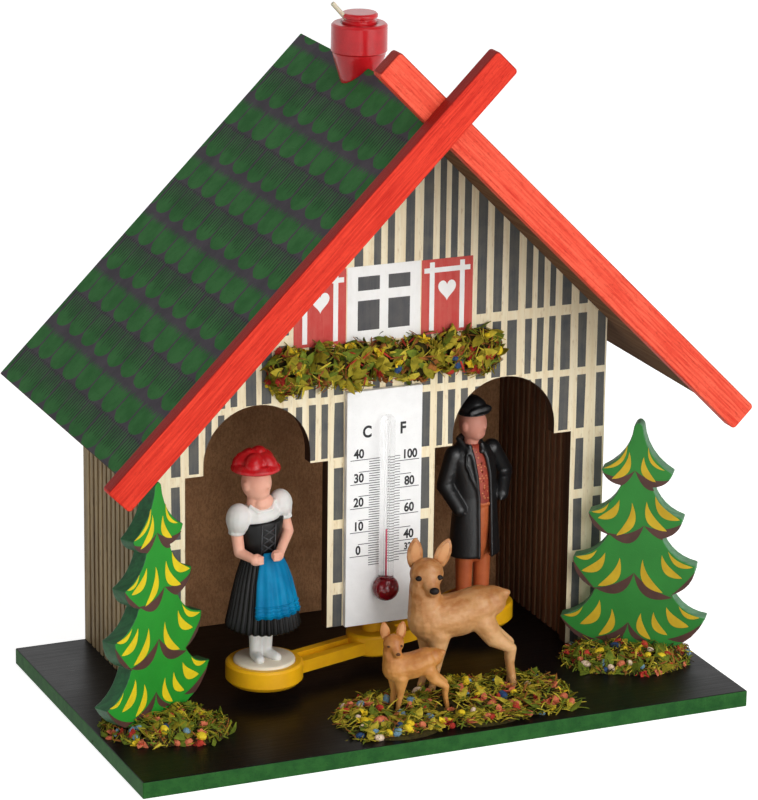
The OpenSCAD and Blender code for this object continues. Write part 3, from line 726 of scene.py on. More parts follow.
# %% Window and shutters
LAYER = 0.04
WHITE, RED, GREY = range(3)
WINDOW = (9.1, 85.4, 103.4)
PANES = ((1.1, 6.5, 88.1, 95.2), (1.1, 6.5, 97.6, 100.9))
SHUTTER = (9.4, 22.3, 85.5, 103.3)
BATTENS = ((11.4, 12.6, 86.3, 102.6), (19, 20.2, 86.3, 102.6), (10, 21.6, 100.1, 101.3))
HEART = (15.8, 95.6, 4.5, 4.9)


def rectangle(left, right, low, high):
    return [(left, low), (right, low), (right, high), (left, high)]


def full_turn(steps):
    """The angles of one turn, in equal steps."""
    return [2 * math.pi * i / steps for i in range(steps)]


def heart_outline(middle_x, middle_z, width, height):
    points = []
    for t in full_turn(36):
        x = math.sin(t) ** 3
        z = (13 * math.cos(t) - 5 * math.cos(2 * t) - 2 * math.cos(3 * t) - math.cos(4 * t)) / 29
        points.append((middle_x + x * width / 2, middle_z + (z + 0.09) * height))
    return points[::-1]


def mirrored(outline, side):
    return [(side * u, v) for u, v in outline]


def printed_window():
    drawing = Drawing()
    half, low, high = WINDOW
    drawing.prism(rectangle(-half, half, low, high), on_wall, INK_ROOT, INK + LAYER, WHITE)
    for side in (-1, 1):
        drawing.prism(mirrored(rectangle(*SHUTTER), side), on_wall, INK_ROOT, INK + LAYER, RED)
        for pane in PANES:
            drawing.prism(mirrored(rectangle(*pane), side), on_wall, INK, INK + 2 * LAYER, GREY)
        for order, batten in enumerate(BATTENS):
            top = INK + (2 + 0.3 * order) * LAYER
            drawing.prism(mirrored(rectangle(*batten), side), on_wall, INK, top, WHITE)
        drawing.prism(mirrored(heart_outline(*HEART), side), on_wall, INK, INK + 2 * LAYER, WHITE)
    return drawing.mesh("painted_window")


white_ink = ink_finish("white_ink", paint(251, 251, 249), paint(242, 240, 236), 0.25)
red_ink = ink_finish("red_ink", paint(200, 62, 58), paint(208, 104, 92), 0.4)
pane_ink = ink_finish("pane_ink", paint(74, 74, 77), paint(98, 96, 93), 0.35)
inks = [white_ink, red_ink, pane_ink]
window = add_piece("painted_window", printed_window(), "house", inks, False)
print("window layers:", len(window.data.polygons), "faces")

# %% [markdown]
# ## Red lacquer, gut and yellow plastic
# The chimney and its knob are turned wood under thick glossy lacquer. The gut is a pale, slightly
# see-through strand. The arm is moulded yellow plastic with soft edges and a waxy depth, so it has a
# little subsurface light.


# %% Chimney, gut and arm
def red_lacquer():
    finish = Finish("red_lacquer", Roughness=0.3, Specular_IOR_Level=0.1, Coat_Weight=0.65,
                    Coat_Roughness=0.2)
    mottle, speck = uneven_of(finish, 3.0)
    colour = finish.mixed(mottle, paint(206, 24, 34), paint(190, 19, 28))
    finish.set("Base_Color", finish.mixed(speck * 0.2, colour, paint(230, 60, 62)))
    finish.bump(mottle, 0.02)
    return finish


def gut_finish():
    finish = Finish("gut", Roughness=0.4, Subsurface_Weight=0.2, Subsurface_Scale=0.001)
    twist = finish.noise(3.0, 2)
    finish.set("Base_Color", finish.mixed(twist, paint(228, 222, 200), paint(204, 194, 162)))
    finish.bump(twist, 0.05)
    return finish


def plastic(name, light, dark, roughness=0.35, depth=0.02, gloss=0.4):
    """Painted or moulded plastic; depth is how far its mottling rises."""
    finish = Finish(name, Subsurface_Weight=0.08, Subsurface_Scale=0.001, Specular_IOR_Level=gloss)
    mottle, speck = uneven_of(finish, 5.0)
    finish.set("Base_Color", finish.mixed(mottle, light, dark))
    finish.set("Roughness", mottle * 0.12 + roughness)
    finish.bump(mottle + speck * 0.4, depth)
    return finish


def wire_finish():
    finish = Finish("wire", Metallic=1.0)
    mottle, speck = uneven_of(finish, 1.0)
    finish.set("Base_Color", finish.mixed(speck, paint(176, 174, 168), paint(140, 134, 124)))
    finish.set("Roughness", mottle * 0.2 + 0.3)
    return finish


def dress(node, finish):
    """Gives a solid that stays as it is its finish."""
    solid = frame["nodes"][node].data
    solid.materials.clear()
    solid.materials.append(finish.material)


lacquer = red_lacquer()
softened("chimney_tube", 0.15, lacquer)
softened("chimney_knob", 0.15, lacquer)
gut = gut_finish()
softened("gut_tail", 0.2, gut)
dress("gut_strand", gut)
dress("gut_guide_eye", wire_finish())
yellow = plastic("yellow_plastic", paint(242, 182, 20), paint(230, 168, 14))
softened("figure_arm", 0.25, yellow)
dress("gut_clamp_plug", yellow)
print("mechanism dressed")

# %% [markdown]
# ## Thermometer
# A white card carries both scales in black print, with Celsius on the left and Fahrenheit on the right.
# The marks are placed by their degrees, so they stand where a real scale has them. Text objects give the
# plain numbers.

# %% Thermometer card and scale
card_low = box_mm("thermometer_card")[0]
ZERO_C = card_low.z + 17.2
DEGREE = 0.59
PRINT = 0.03
NARROW = 0.84


def height_c(degrees):
    return ZERO_C + DEGREE * degrees


def height_f(degrees):
    return height_c((degrees - 32) / 1.8)


def on_card(u, v, depth):
    return Vector((u, card_low.y - depth, v))


def add_mark(drawing, near, far, level, thickness=0.16):
    left, right = sorted((near, far))
    drawing.prism(rectangle(left, right, level - thickness / 2, level + thickness / 2), on_card, -0.1, PRINT)


def add_words(drawing, words, middle, level, height):
    """Flat characters, centred on a place of the card."""
    curve = bpy.data.curves.new("words", "FONT")
    curve.body = words
    curve.size = height / 0.7
    curve.offset = 0.045 * height
    curve.align_x = "CENTER"
    curve.extrude = PRINT
    curve.resolution_u = 4
    text = bpy.data.objects.new("words", curve)
    bpy.context.collection.objects.link(text)
    flat = evaluated_mesh(text)
    points = [on_card(middle + v.co.x * NARROW, level + v.co.y, v.co.z) for v in flat.vertices]
    drawing.add(points, [list(p.vertices) for p in flat.polygons])
    bpy.data.objects.remove(text)
    bpy.data.meshes.remove(flat)


def scale_print():
    drawing = Drawing()
    for degrees in range(-4, 41):
        reach = -8.5 if degrees % 10 == 0 else -6.4 if degrees % 5 == 0 else -3.8
        add_mark(drawing, -1.0, reach, height_c(degrees))
    for degrees in range(26, 105, 2):
        reach = 8.8 if degrees % 20 == 0 or degrees == 32 else 6.8 if degrees % 10 == 0 else 4.0
        add_mark(drawing, 1.0, reach, height_f(degrees))
    for degrees in range(0, 41, 10):
        add_words(drawing, str(degrees), -6.4, height_c(degrees) + 0.5, 2.1)
    for degrees in range(40, 101, 20):
        add_words(drawing, str(degrees), 6.4, height_f(degrees) + 0.5, 2.1)
    add_words(drawing, "32", 6.2, height_f(32) + 0.3, 1.6)
    add_words(drawing, "C", -4.4, card_low.z + 46.2, 2.7)
    add_words(drawing, "F", 4.6, card_low.z + 46.2, 2.7)
    return drawing.mesh("scale_print")


def card_finish():
    finish = Finish("card", Roughness=0.5, Specular_IOR_Level=0.3)
    mottle, speck = uneven_of(finish, 3.0)
    colour = finish.mixed(mottle, paint(250, 250, 249), paint(245, 245, 244))
    finish.set("Base_Color", finish.mixed(speck * 0.2, colour, paint(224, 224, 222)))
    finish.bump(speck, 0.01)
    return finish


card_paper = card_finish()
softened("thermometer_card", 0.12, card_paper)
print_ink = ink_finish("print_ink", paint(36, 36, 38), paint(58, 58, 60), 0.2)
scale = add_piece("scale_print", scale_print(), "house", [print_ink], False)
print("scale:", len(scale.data.polygons), "faces")

# %% [markdown]
# ## Glass and spirit
# The tube is thin clear glass with red spirit in the bulb and a short way up the bore. Glass keeps plain
# numbers on its shader. The spirit is a dark, glossy red, because light that goes into it hardly comes
# back. A round bulb acts as a lens and seems full to its rim, so the spirit gets its mesh later, with the
# helpers for round forms.


# %% Glass tube and spirit
def glass_finish():
    finish = Finish("glass", Roughness=0.03, IOR=1.12, Transmission_Weight=1.0)
    wave = finish.noise(0.4, 2)
    finish.set("Base_Color", finish.mixed(wave, paint(255, 255, 255), paint(252, 252, 252)))
    finish.bump(wave, 0.02)
    return finish


def spirit_finish(name, light, dark):
    finish = Finish(name, Roughness=0.2, Coat_Weight=0.3, Coat_Roughness=0.05)
    wave = finish.noise(0.5, 2)
    finish.set("Base_Color", finish.mixed(wave, light, dark))
    finish.bump(wave, 0.02)
    return finish


softened("thermometer_glass", 0, glass_finish())
print("glass dressed")

# %% [markdown]
# ## Modelling small figures
# The figures and animals were cast in plastic from carved originals, so their forms run softly into each
# other. Balls and limbs are piled up like clay, and a voxel remesh melts each pile into one skin. Cloth
# with clear folds is lofted through rings instead, because a remesh would blur the pleats.


# %% Helpers for clay and lofts
def loft(drawing, rings, look=0):
    """Joins rings of equal length into a closed skin."""
    count = len(rings[0])
    faces = [list(range(count))[::-1], [(len(rings) - 1) * count + i for i in range(count)]]
    for level in range(len(rings) - 1):
        for i in range(count):
            here = level * count
            beside = (i + 1) % count
            faces.append([here + i, here + beside, here + count + beside, here + count + i])
    drawing.add([p for ring in rings for p in ring], faces, look)


def ball(drawing, middle, size, look=0, turn=None, around=16, stack=10):
    """A stretched ball; size is its reach along X, Y and Z."""
    turn = turn or Matrix()
    points = []
    for level in range(1, stack):
        lift = math.pi * level / stack - math.pi / 2
        for t in full_turn(around):
            points.append((math.cos(lift) * math.cos(t), math.cos(lift) * math.sin(t), math.sin(lift)))
    points += [(0, 0, -1), (0, 0, 1)]
    faces = []
    for level in range(stack - 2):
        for i in range(around):
            here = level * around + i
            beside = level * around + (i + 1) % around
            faces.append([here, beside, beside + around, here + around])
    foot = (stack - 1) * around
    faces += [[foot, (i + 1) % around, i] for i in range(around)]
    faces += [[foot + 1, foot - around + i, foot - around + (i + 1) % around] for i in range(around)]
    sized = [turn @ Vector([p[axis] * size[axis] for axis in range(3)]) + Vector(middle) for p in points]
    drawing.add(sized, faces, look)


def tube(drawing, path, radii, look=0, sides=10):
    """A tube through points, with its own radius at each point."""
    path = [Vector(p) for p in path]
    rings = []
    side = (path[1] - path[0]).orthogonal()
    for i, middle in enumerate(path):
        along = (path[min(i + 1, len(path) - 1)] - path[max(i - 1, 0)]).normalized()
        side = (side - along * side.dot(along)).normalized()
        other = along.cross(side)
        spin = full_turn(sides)
        rings.append([middle + (side * math.cos(t) + other * math.sin(t)) * radii[i] for t in spin])
    loft(drawing, rings, look)


def limb(drawing, start, start_radius, end, end_radius):
    """A tube between two balls."""
    ball(drawing, start, (start_radius,) * 3)
    ball(drawing, end, (end_radius,) * 3)
    tube(drawing, [start, end], [start_radius, end_radius], sides=16)


def clay(drawing, voxel, rounds):
    """Melts overlapping closed forms into one smooth skin."""
    raw = drawing.mesh("clay")
    lump = bpy.data.objects.new("clay", raw)
    bpy.context.collection.objects.link(lump)
    melt = lump.modifiers.new("melt", "REMESH")
    melt.mode = "VOXEL"
    melt.voxel_size = voxel * MM
    rub = lump.modifiers.new("rub", "SMOOTH")
    rub.iterations = rounds
    skin = evaluated_mesh(lump)
    bpy.data.objects.remove(lump)
    bpy.data.meshes.remove(raw)
    return skin


# %% [markdown]
# Each figure stands on a round disc. Its place is read from the rim at the bottom of its solid, and its
# body is drawn in millimetres above the disc.


# %% Places and discs of the figures
def figure_place(node, turn):
    """Where a figure's disc lies, from the round rim at the bottom of its solid."""
    points = [v.co / MM for v in frame["nodes"][node].data.vertices]
    low = min(p.z for p in points)
    rim = [p for p in points if p.z < low + 0.01]
    middle = [(min(p[axis] for p in rim) + max(p[axis] for p in rim)) / 2 for axis in range(2)]
    return Matrix.Translation((*middle, low)) @ Matrix.Rotation(math.radians(turn), 4, "Z")


DISC_RADIUS = 7.2
DISC_HEIGHT = 3.5


def standing(place, aside=0):
    """A drawing whose zero is on top of the figure's disc, or aside of its middle."""
    return Drawing(place @ Matrix.Translation((aside, 0, DISC_HEIGHT)))


def round_disc(place):
    drawing = Drawing(place)
    edge = 0.5
    profile = ((DISC_RADIUS - edge, 0), (DISC_RADIUS, edge), (DISC_RADIUS, DISC_HEIGHT - edge),
               (DISC_RADIUS - 0.15, DISC_HEIGHT - 0.15), (DISC_RADIUS - edge, DISC_HEIGHT))
    loft(drawing, [[(r * math.cos(t), r * math.sin(t), z) for t in full_turn(48)] for r, z in profile])
    return drawing.mesh("disc")


print("discs", 2 * DISC_RADIUS, "mm wide and", DISC_HEIGHT, "mm high")

# %% [markdown]
# With these helpers the spirit is two forms: a ball that fills the bulb nearly to its outside, and a thin
# column, which looks paler because the tube's glass is thick beside it. A thin collar closes the card
# round the bulb.

# %% Spirit in the bulb
glass_low, glass_high = box_mm("thermometer_glass")
BULB_RADIUS = (glass_high.x - glass_low.x) / 2
BULB = Vector(((glass_low.x + glass_high.x) / 2, glass_low.y + BULB_RADIUS, glass_low.z + BULB_RADIUS))


def spirit_mesh(rim=0.12, column=0.22):
    top = box_mm("thermometer_spirit")[1].z
    drawing = Drawing()
    ball(drawing, BULB, (BULB_RADIUS - rim,) * 3, 0, None, 40, 24)
    tube(drawing, [BULB + Vector((0, 0, BULB_RADIUS / 2)), (BULB.x, BULB.y, top)], [column] * 2, 1, 16)
    return drawing.mesh("spirit")


def card_collar(gap=0.05, reach=0.5, thickness=0.06, steps=48):
    """A flat ring on the card whose hole fits the bulb."""
    hole = math.sqrt(BULB_RADIUS ** 2 - (card_low.y - BULB.y) ** 2) + gap
    edge = BULB_RADIUS + reach
    rings = [[on_card(BULB.x + r * math.cos(t), BULB.z + r * math.sin(t), depth) for t in full_turn(steps)]
             for r, depth in ((hole, -thickness), (edge, -thickness), (edge, PRINT / 3), (hole, PRINT / 3))]
    points = [p for ring in rings for p in ring]
    faces = []
    for level in range(4):
        for i in range(steps):
            here = level * steps
            other = (level + 1) % 4 * steps
            beside = (i + 1) % steps
            faces.append([here + i, here + beside, other + beside, other + i])
    drawing = Drawing()
    drawing.add(points, faces)
    return drawing.mesh("collar")


bulb_red = spirit_finish("spirit", paint(138, 11, 25), paint(88, 7, 17))
column_red = spirit_finish("spirit_column", paint(206, 72, 98), paint(196, 60, 88))
reds = [bulb_red, column_red]
add_piece("spirit_column", spirit_mesh(), "house", reds, True, ["thermometer_spirit"])
add_piece("card_collar", card_collar(), "house", [card_paper], False)
print("thermometer dressed")

# %% [markdown]
# ## Woman: legs, skirt and apron
# She wears a black pleated skirt with a blue apron over white stockings. A pleat is a rounded fold with a
# sharp crease beside it, which the absolute value of a sine draws in one step. Folds grow deeper towards
# the hem.

# %% Woman from the waist down
woman_at = figure_place("woman_figure", 5)
HIPS_ASIDE = -0.4
SKIRT_PLEATS = 32
SKIRT = ((26.4, 4.1, 0.1), (25, 4.7, 0.2), (23, 5.5, 0.35), (20, 6.4, 0.5), (16, 7.3, 0.65), (12, 8.1, 0.75),
         (8.6, 8.85, 0.8), (8.2, 8.7, 0.8), (8.5, 8.0, 0.7), (14, 6.2, 0.4))
APRON = ((26.8, 4.5, 24, 30), (25.2, 4.95, 34, 44), (23, 5.8, 37, 50), (20, 6.8, 39, 54), (16.6, 7.6, 39, 57),
         (13.6, 8.2, 39, 59), (12.4, 8.5, 39, 60))


def woman_part(name, mesh, finish):
    add_piece("woman_" + name, mesh, "arm", [finish], True, ["woman_figure"])


def pleated_skirt():
    drawing = standing(woman_at, HIPS_ASIDE)
    rings = []
    for z, radius, depth in SKIRT:
        ring = []
        for t in full_turn(SKIRT_PLEATS * 8):
            r = radius - depth * (1 - abs(math.sin(SKIRT_PLEATS * t / 2)))
            ring.append((r * math.cos(t), r * math.sin(t), z))
        rings.append(ring)
    loft(drawing, rings)
    return drawing.mesh("skirt")


def apron_point(z, radius, angle, lift=0.0):
    t = math.radians(angle - 90)
    folds = 0.3 * math.cos(math.radians(angle * 21))
    r = radius + lift + folds * (APRON[0][0] - z) / 16
    return (r * math.cos(t), r * math.sin(t), z)


def apron_angles(left, right, steps=60):
    return [(left + right) * i / steps - left for i in range(steps + 1)]


def gathered_apron():
    """The apron hangs to the viewer's right, so each level has its own reach to the left and right."""
    drawing = standing(woman_at, HIPS_ASIDE)
    thickness = 0.6
    rings = []
    for z, radius, left, right in APRON:
        angles = apron_angles(left, right)
        scallop = 0.3 if z == APRON[-1][0] else 0
        outer = [apron_point(z - scallop * abs(math.sin(i * 0.5)), radius, a) for i, a in enumerate(angles)]
        inner = [apron_point(z, radius, a, -thickness) for a in angles[::-1]]
        rings.append(outer + inner)
    loft(drawing, rings)
    hem = apron_angles(*APRON[-1][2:])
    for z, radius, size in ((13.0, 8.36, 0.2), (13.9, 8.16, 0.14), (14.9, 7.98, 0.2)):
        tube(drawing, [apron_point(z, radius, a, 0.05) for a in hem], [size] * len(hem), sides=8)
    return drawing.mesh("apron")


def stockings():
    drawing = standing(woman_at, -0.7)
    for side in (-1, 1):
        limb(drawing, (side * 1.4, 0.5, 1.4), 1.35, (side * 1.5, 0.4, 10), 1.7)
        limb(drawing, (side * 1.4, 0.5, 0.9), 1.4, (side * 2.2 + 0.3, -2.8, 0.5), 1.15)
    return clay(drawing, 0.24, 3)


cloth_black = plastic("black_cloth", paint(18, 17, 17), paint(11, 11, 11), 0.3, 0.03, 0.25)
apron_blue = plastic("apron_blue", paint(2, 132, 178), paint(1, 108, 154), 0.42, 0.03, 0.12)
figure_white = plastic("figure_white", paint(226, 224, 220), paint(214, 212, 208), 0.45)
woman_part("skirt", pleated_skirt(), cloth_black)
woman_part("apron", gathered_apron(), apron_blue)
woman_part("stockings", stockings(), figure_white)
disc_cream = plastic("disc_cream", paint(234, 224, 204), paint(222, 210, 188), 0.4)
woman_part("disc", round_disc(woman_at), disc_cream)
print("woman stands at", [round(v, 1) for v in woman_at.translation], "mm")

# %% [markdown]
# ## Woman: bodice and blouse
# A black bodice laces over a white blouse with puffed sleeves and a square neckline. She leans a little,
# with one shoulder higher.

# %% Woman's bodice and blouse
CHEST_ASIDE = -1.2
LEAN = math.radians(4)
BODICE = ((25.6, 4.2, 3.5), (26.6, 4.25, 3.5), (28.6, 4.5, 3.7), (31, 5.0, 3.95), (33.6, 5.4, 4.1),
          (34.1, 5.25, 3.95))
LACE = 0.17


def oval(z, wide, deep, lean=0.0):
    """A level ring, or one that rises towards the viewer's right by the angle lean."""
    ring = []
    for t in full_turn(40):
        ring.append((wide * math.cos(t), deep * math.sin(t), z + wide * math.cos(t) * math.tan(lean)))
    return ring


def laced_bodice():
    drawing = standing(woman_at, CHEST_ASIDE + 0.3)
    low = BODICE[0][0]
    high = BODICE[-1][0]
    loft(drawing, [oval(z, wide, deep, LEAN * (z - low) / (high - low)) for z, wide, deep in BODICE])
    return drawing.mesh("bodice")


def bodice_laces():
    drawing = standing(woman_at, CHEST_ASIDE + 0.3)
    for low, front in ((26.9, -3.6), (28.9, -3.83), (30.9, -4.05)):
        for side in (-1, 1):
            cross = [(-side * 1.5, front + 0.2, low), (0, front - 0.05, low + 1),
                     (side * 1.5, front, low + 2)]
            tube(drawing, cross, [LACE] * 3, sides=8)
    for side in (-1, 1):
        edge = [(side * 1.7, -3.35, 26.4), (side * 1.7, -3.65, 29.1), (side * 1.7, -3.98, 33.6)]
        tube(drawing, edge, [LACE] * 3, sides=8)
    return drawing.mesh("laces")


def puffed_sleeve(drawing, middle, size, cuff):
    """A gathered ball of cloth; cuff is where the bare arm comes out."""
    ball(drawing, middle, size)
    ball(drawing, cuff, (2.0, 2.0, 0.7))
    for t in full_turn(9):
        foot = Vector(cuff) + Vector((1.5 * math.cos(t), 1.5 * math.sin(t), 0.3))
        top = Vector(middle) + Vector((size[0] * 0.93 * math.cos(t), size[1] * 0.93 * math.sin(t), -0.5))
        limb(drawing, foot, 0.35, top, 0.2)


def blouse():
    drawing = standing(woman_at)
    lean = Matrix.Rotation(-LEAN * 2, 4, "Y")
    ball(drawing, (CHEST_ASIDE, 0.1, 34.8), (5.2, 3.7, 2.6), turn=lean)
    ball(drawing, (CHEST_ASIDE - 0.3, 0.3, 36.1), (5.2, 3.1, 2.3), turn=lean)
    neckline = [(-4.3, -1.3, 37.9), (-3, -2.75, 36.5), (0.6, -2.85, 36.8), (1.7, -1.4, 38.4)]
    for first, second in zip(neckline, neckline[1:]):
        limb(drawing, first, 0.34, second, 0.34)
    puffed_sleeve(drawing, (-6.8, -0.2, 34.8), (3.0, 2.9, 3.7), (-7.2, 0, 31.5))
    puffed_sleeve(drawing, (4.1, 0.4, 36.8), (2.9, 2.8, 3.4), (5.0, 0.3, 33.7))
    return clay(drawing, 0.24, 2)


lace_black = plastic("black_lace", paint(66, 66, 68), paint(48, 48, 50), 0.35)
woman_part("bodice", laced_bodice(), cloth_black)
woman_part("laces", bodice_laces(), lace_black)
woman_part("blouse", blouse(), figure_white)
print("bodice", BODICE[-1][0] - BODICE[0][0], "mm high")

# %% [markdown]
# ## Woman: arms, head and cap
# Her hands meet over the apron, with the fingers as short rolls of clay. Her face is plain, with only the
# ridge of a nose, and big soft folds make up the red cap.

# %% Woman's arms, head and cap
HEAD_TURN = math.radians(24)


def bare_arms():
    drawing = standing(woman_at)
    left = [(-7.2, 0, 31.6), (-6.9, -0.8, 26.9), (-5.3, -4.5, 26.2)]
    right = [(4.9, 0.4, 34.2), (5.7, -0.6, 30.2), (1.1, -5.3, 26.8)]
    for path in (left, right):
        limb(drawing, path[0], 1.45, path[1], 1.3)
        limb(drawing, path[1], 1.3, path[2], 1.05)
    for wrist, way in ((left[2], 1), (right[2], -1)):
        fist = Vector(wrist) + Vector((way * 0.7, -0.4, -0.2))
        ball(drawing, fist, (1.6, 1.15, 1.45))
        for finger in range(3):
            knuckle = fist + Vector((way * 0.2, -0.9, 0.75 - 0.7 * finger))
            limb(drawing, knuckle, 0.4, knuckle + Vector((way * 1.0, 0.1, -0.1)), 0.36)
    return clay(drawing, 0.2, 2)


def plain_head(place, middle, size, neck_low):
    """Neck, head and the ridge of a nose, with no other features; the head looks to the viewer's right."""
    x, y, z = middle
    wide, deep, high = size
    axis = Matrix.Translation((x, y, 0))
    drawing = standing(place @ axis @ Matrix.Rotation(HEAD_TURN, 4, "Z") @ axis.inverted())
    limb(drawing, (x, y + 0.4, neck_low), wide * 0.62, (x, y + 0.2, z - high * 0.6), wide * 0.56)
    ball(drawing, middle, size, 0, None, 32, 20)
    jaw = (wide * 0.7, deep * 0.62, high * 0.46)
    ball(drawing, (x, y - deep * 0.3, z - high * 0.5), jaw, 0, None, 24, 14)
    limb(drawing, (x, y - deep * 0.86, z + high * 0.22), 0.35, (x, y - deep * 0.98, z - high * 0.1), 0.5)
    ball(drawing, (x, y - deep * 0.62, z + high * 0.3), (wide * 0.62, deep * 0.34, high * 0.16))
    for side in (-1, 1):
        ball(drawing, (x + side * wide * 0.97, y + 0.3, z - 0.2), (0.5, 0.95, 1.25))
    return drawing


def folded_cap():
    drawing = standing(woman_at, -2.4)
    loft(drawing, [oval(45.9, 5.0, 5.0), oval(46.2, 5.75, 5.75), oval(46.9, 5.7, 5.7), oval(47.8, 4.8, 4.8)])
    ball(drawing, (0.1, 0.3, 47.4), (4.5, 4.5, 3.2))
    for i in range(5):
        t = math.radians(-52 + 72 * i)
        out = Vector((math.cos(t), math.sin(t), 0))
        turn = Matrix.Rotation(t, 4, "Z") @ Matrix.Rotation(math.radians(40), 4, "Y")
        ball(drawing, out * 3.0 + Vector((0, 0.2, 48.2)), (2.75, 2.2, 1.9), turn=turn)
    for aside, back, high in ((-1.2, 0.5, 49.6), (0.9, 0.2, 50.1)):
        ball(drawing, (aside, back, high), (1.8, 1.9, 1.4))
    return clay(drawing, 0.17, 2)


def pieces_named(start):
    return [o.name for o in bpy.data.objects if o.name.startswith(start) and o.type == "MESH"]


flesh = plastic("flesh", paint(236, 178, 154), paint(228, 164, 140), 0.45)
hat_red = plastic("hat_red", paint(200, 25, 33), paint(178, 18, 25), 0.24, 0.03)
woman_head = plain_head(woman_at, (-2.3, -0.2, 43), (3.4, 3.6, 4.2), 36.4)
ball(woman_head, (CHEST_ASIDE - 0.1, -1.7, 38.2), (2.7, 1.7, 2.1))
woman_part("arms", bare_arms(), flesh)
woman_part("head", clay(woman_head, 0.22, 2), flesh)
woman_part("hat", folded_cap(), hat_red)
print("woman's pieces:", len(pieces_named("woman_")))

# %% [markdown]
# ## Man: trousers and waistcoat
# He stands a little turned, in brown trousers and a red waistcoat with a small raised pattern. Where the
# coat hides them they stay simple. The pattern is a Voronoi texture: its cells give both the colour and
# the relief.

# %% Man's trousers and waistcoat
man_at = figure_place("man_figure", 8)
MAN_ASIDE = -0.8


def man_part(name, mesh, finish):
    add_piece("man_" + name, mesh, "arm", [finish], True, ["man_figure"])


def trousers():
    drawing = standing(man_at, MAN_ASIDE)
    for side in (-1, 1):
        limb(drawing, (side * 2.5, 0.3, 1.4), 1.9, (side * 2.6, 0.2, 20), 2.45)
    loft(drawing, [oval(9.4, 1, 1.4), oval(10.4, 2.4, 2.4), oval(13.4, 3.2, 3.4), oval(20.5, 4.4, 3.85),
                   oval(25.4, 4.2, 3.9)])
    limb(drawing, (-1.7, -3.8, 24.6), 0.4, (1.9, -3.8, 24.6), 0.4)
    limb(drawing, (0.3, -3.7, 24.2), 0.35, (0.3, -3.5, 18.5), 0.35)
    return clay(drawing, 0.26, 2)


def shoes():
    drawing = standing(man_at, MAN_ASIDE)
    for side in (-1, 1):
        limb(drawing, (side * 2.5, 0.5, 0.8), 1.7, (side * 3.1, -3.0, 0.5), 1.4)
    return clay(drawing, 0.28, 2)


def slanted(levels):
    """Rings whose middles drift aside: each level is its height, its middle, its width and its depth."""
    return [[(x + middle, y, z) for x, y, z in oval(height, wide, deep)]
            for height, middle, wide, deep in levels]


def waistcoat():
    drawing = standing(man_at)
    loft(drawing, slanted(((24.2, -0.6, 4.0, 3.9), (25, -0.6, 4.3, 4.05), (31, -1.1, 4.5, 3.95),
                           (35.4, -1.7, 4.5, 3.5), (38.2, -2.3, 3.2, 2.7), (39.4, -2.6, 2.4, 2.2))))
    for button in range(5):
        ball(drawing, (-0.4 - 0.22 * button, -4.0, 26.2 + 2.2 * button), (0.3, 0.25, 0.3), around=8, stack=6)
    return drawing.mesh("waistcoat")


def patterned_cloth():
    finish = Finish("patterned_cloth", Roughness=0.5)
    cells = shader_part(finish.tree, "ShaderNodeTexVoronoi", Vector=finish.point, Scale=1.1)
    near = Wire(finish.tree, cells.outputs["Distance"])
    dots = near.step(0.34, 0.22)
    mottle, _ = uneven_of(finish, 3.0)
    colour = finish.mixed(mottle, paint(172, 69, 48), paint(142, 52, 39))
    finish.set("Base_Color", finish.mixed(dots * 0.6, colour, paint(232, 150, 98)))
    finish.bump(dots, 0.12)
    return finish


trouser_brown = plastic("trouser_brown", paint(200, 106, 60), paint(178, 88, 47), 0.42, 0.03)
man_part("trousers", trousers(), trouser_brown)
man_part("disc", round_disc(man_at), trouser_brown)
man_part("shoes", shoes(), cloth_black)
man_part("waistcoat", waistcoat(), patterned_cloth())
print("man stands at", [round(v, 1) for v in man_at.translation], "mm")

# %% [markdown]
# ## Man: coat, head and hat
# The long coat hangs open, so its rings are open hoops: out along one side, round the back, and home
# again inside. His hands are in the pockets, with folds where the sleeves bend. The hat rises to a point
# over an upturned brim.

# %% Man's coat, head and hat
COAT = ((11.3, -0.7, 6.5, 4.8, 1.6), (11.8, -0.7, 6.7, 5.0, 1.6), (18, -0.7, 6.2, 4.7, 1.55),
        (26.5, -0.7, 5.5, 4.2, 1.5), (32, -1.2, 5.8, 4.15, 1.7), (36, -1.9, 6.0, 3.75, 1.7),
        (38.2, -2.4, 4.8, 3.1, 1.6), (39.8, -2.7, 3.3, 2.6, 1.5))
COAT_CLOTH = 0.95
LAPELS = (0.42, 0.42, 0.42, 0.45, 0.5, 0.55, 0.6, 0.6)
SKEW = 0.45
SLEEVES = (((-6.8, 0.3, 36.9), (-8.6, 1.4, 29.3), (-6.8, -2.6, 24)),
           ((3.9, 0.3, 37.1), (8.6, 1.6, 30.6), (5.4, -2.2, 26)))


def open_hoop(z, middle, wide, deep, gap, steps=44):
    """A hoop that is open in front, a little more on the viewer's right."""
    right = math.asin((gap + SKEW) / wide)
    left = math.asin(gap / wide)
    turn = [right + (2 * math.pi - right - left) * i / steps for i in range(steps + 1)]
    rings = []
    for inset in (0, COAT_CLOTH):
        half = wide - inset
        rings.append([(middle + half * math.sin(t), -(deep - inset) * math.cos(t), z) for t in turn])
    return rings[0] + rings[1][::-1]


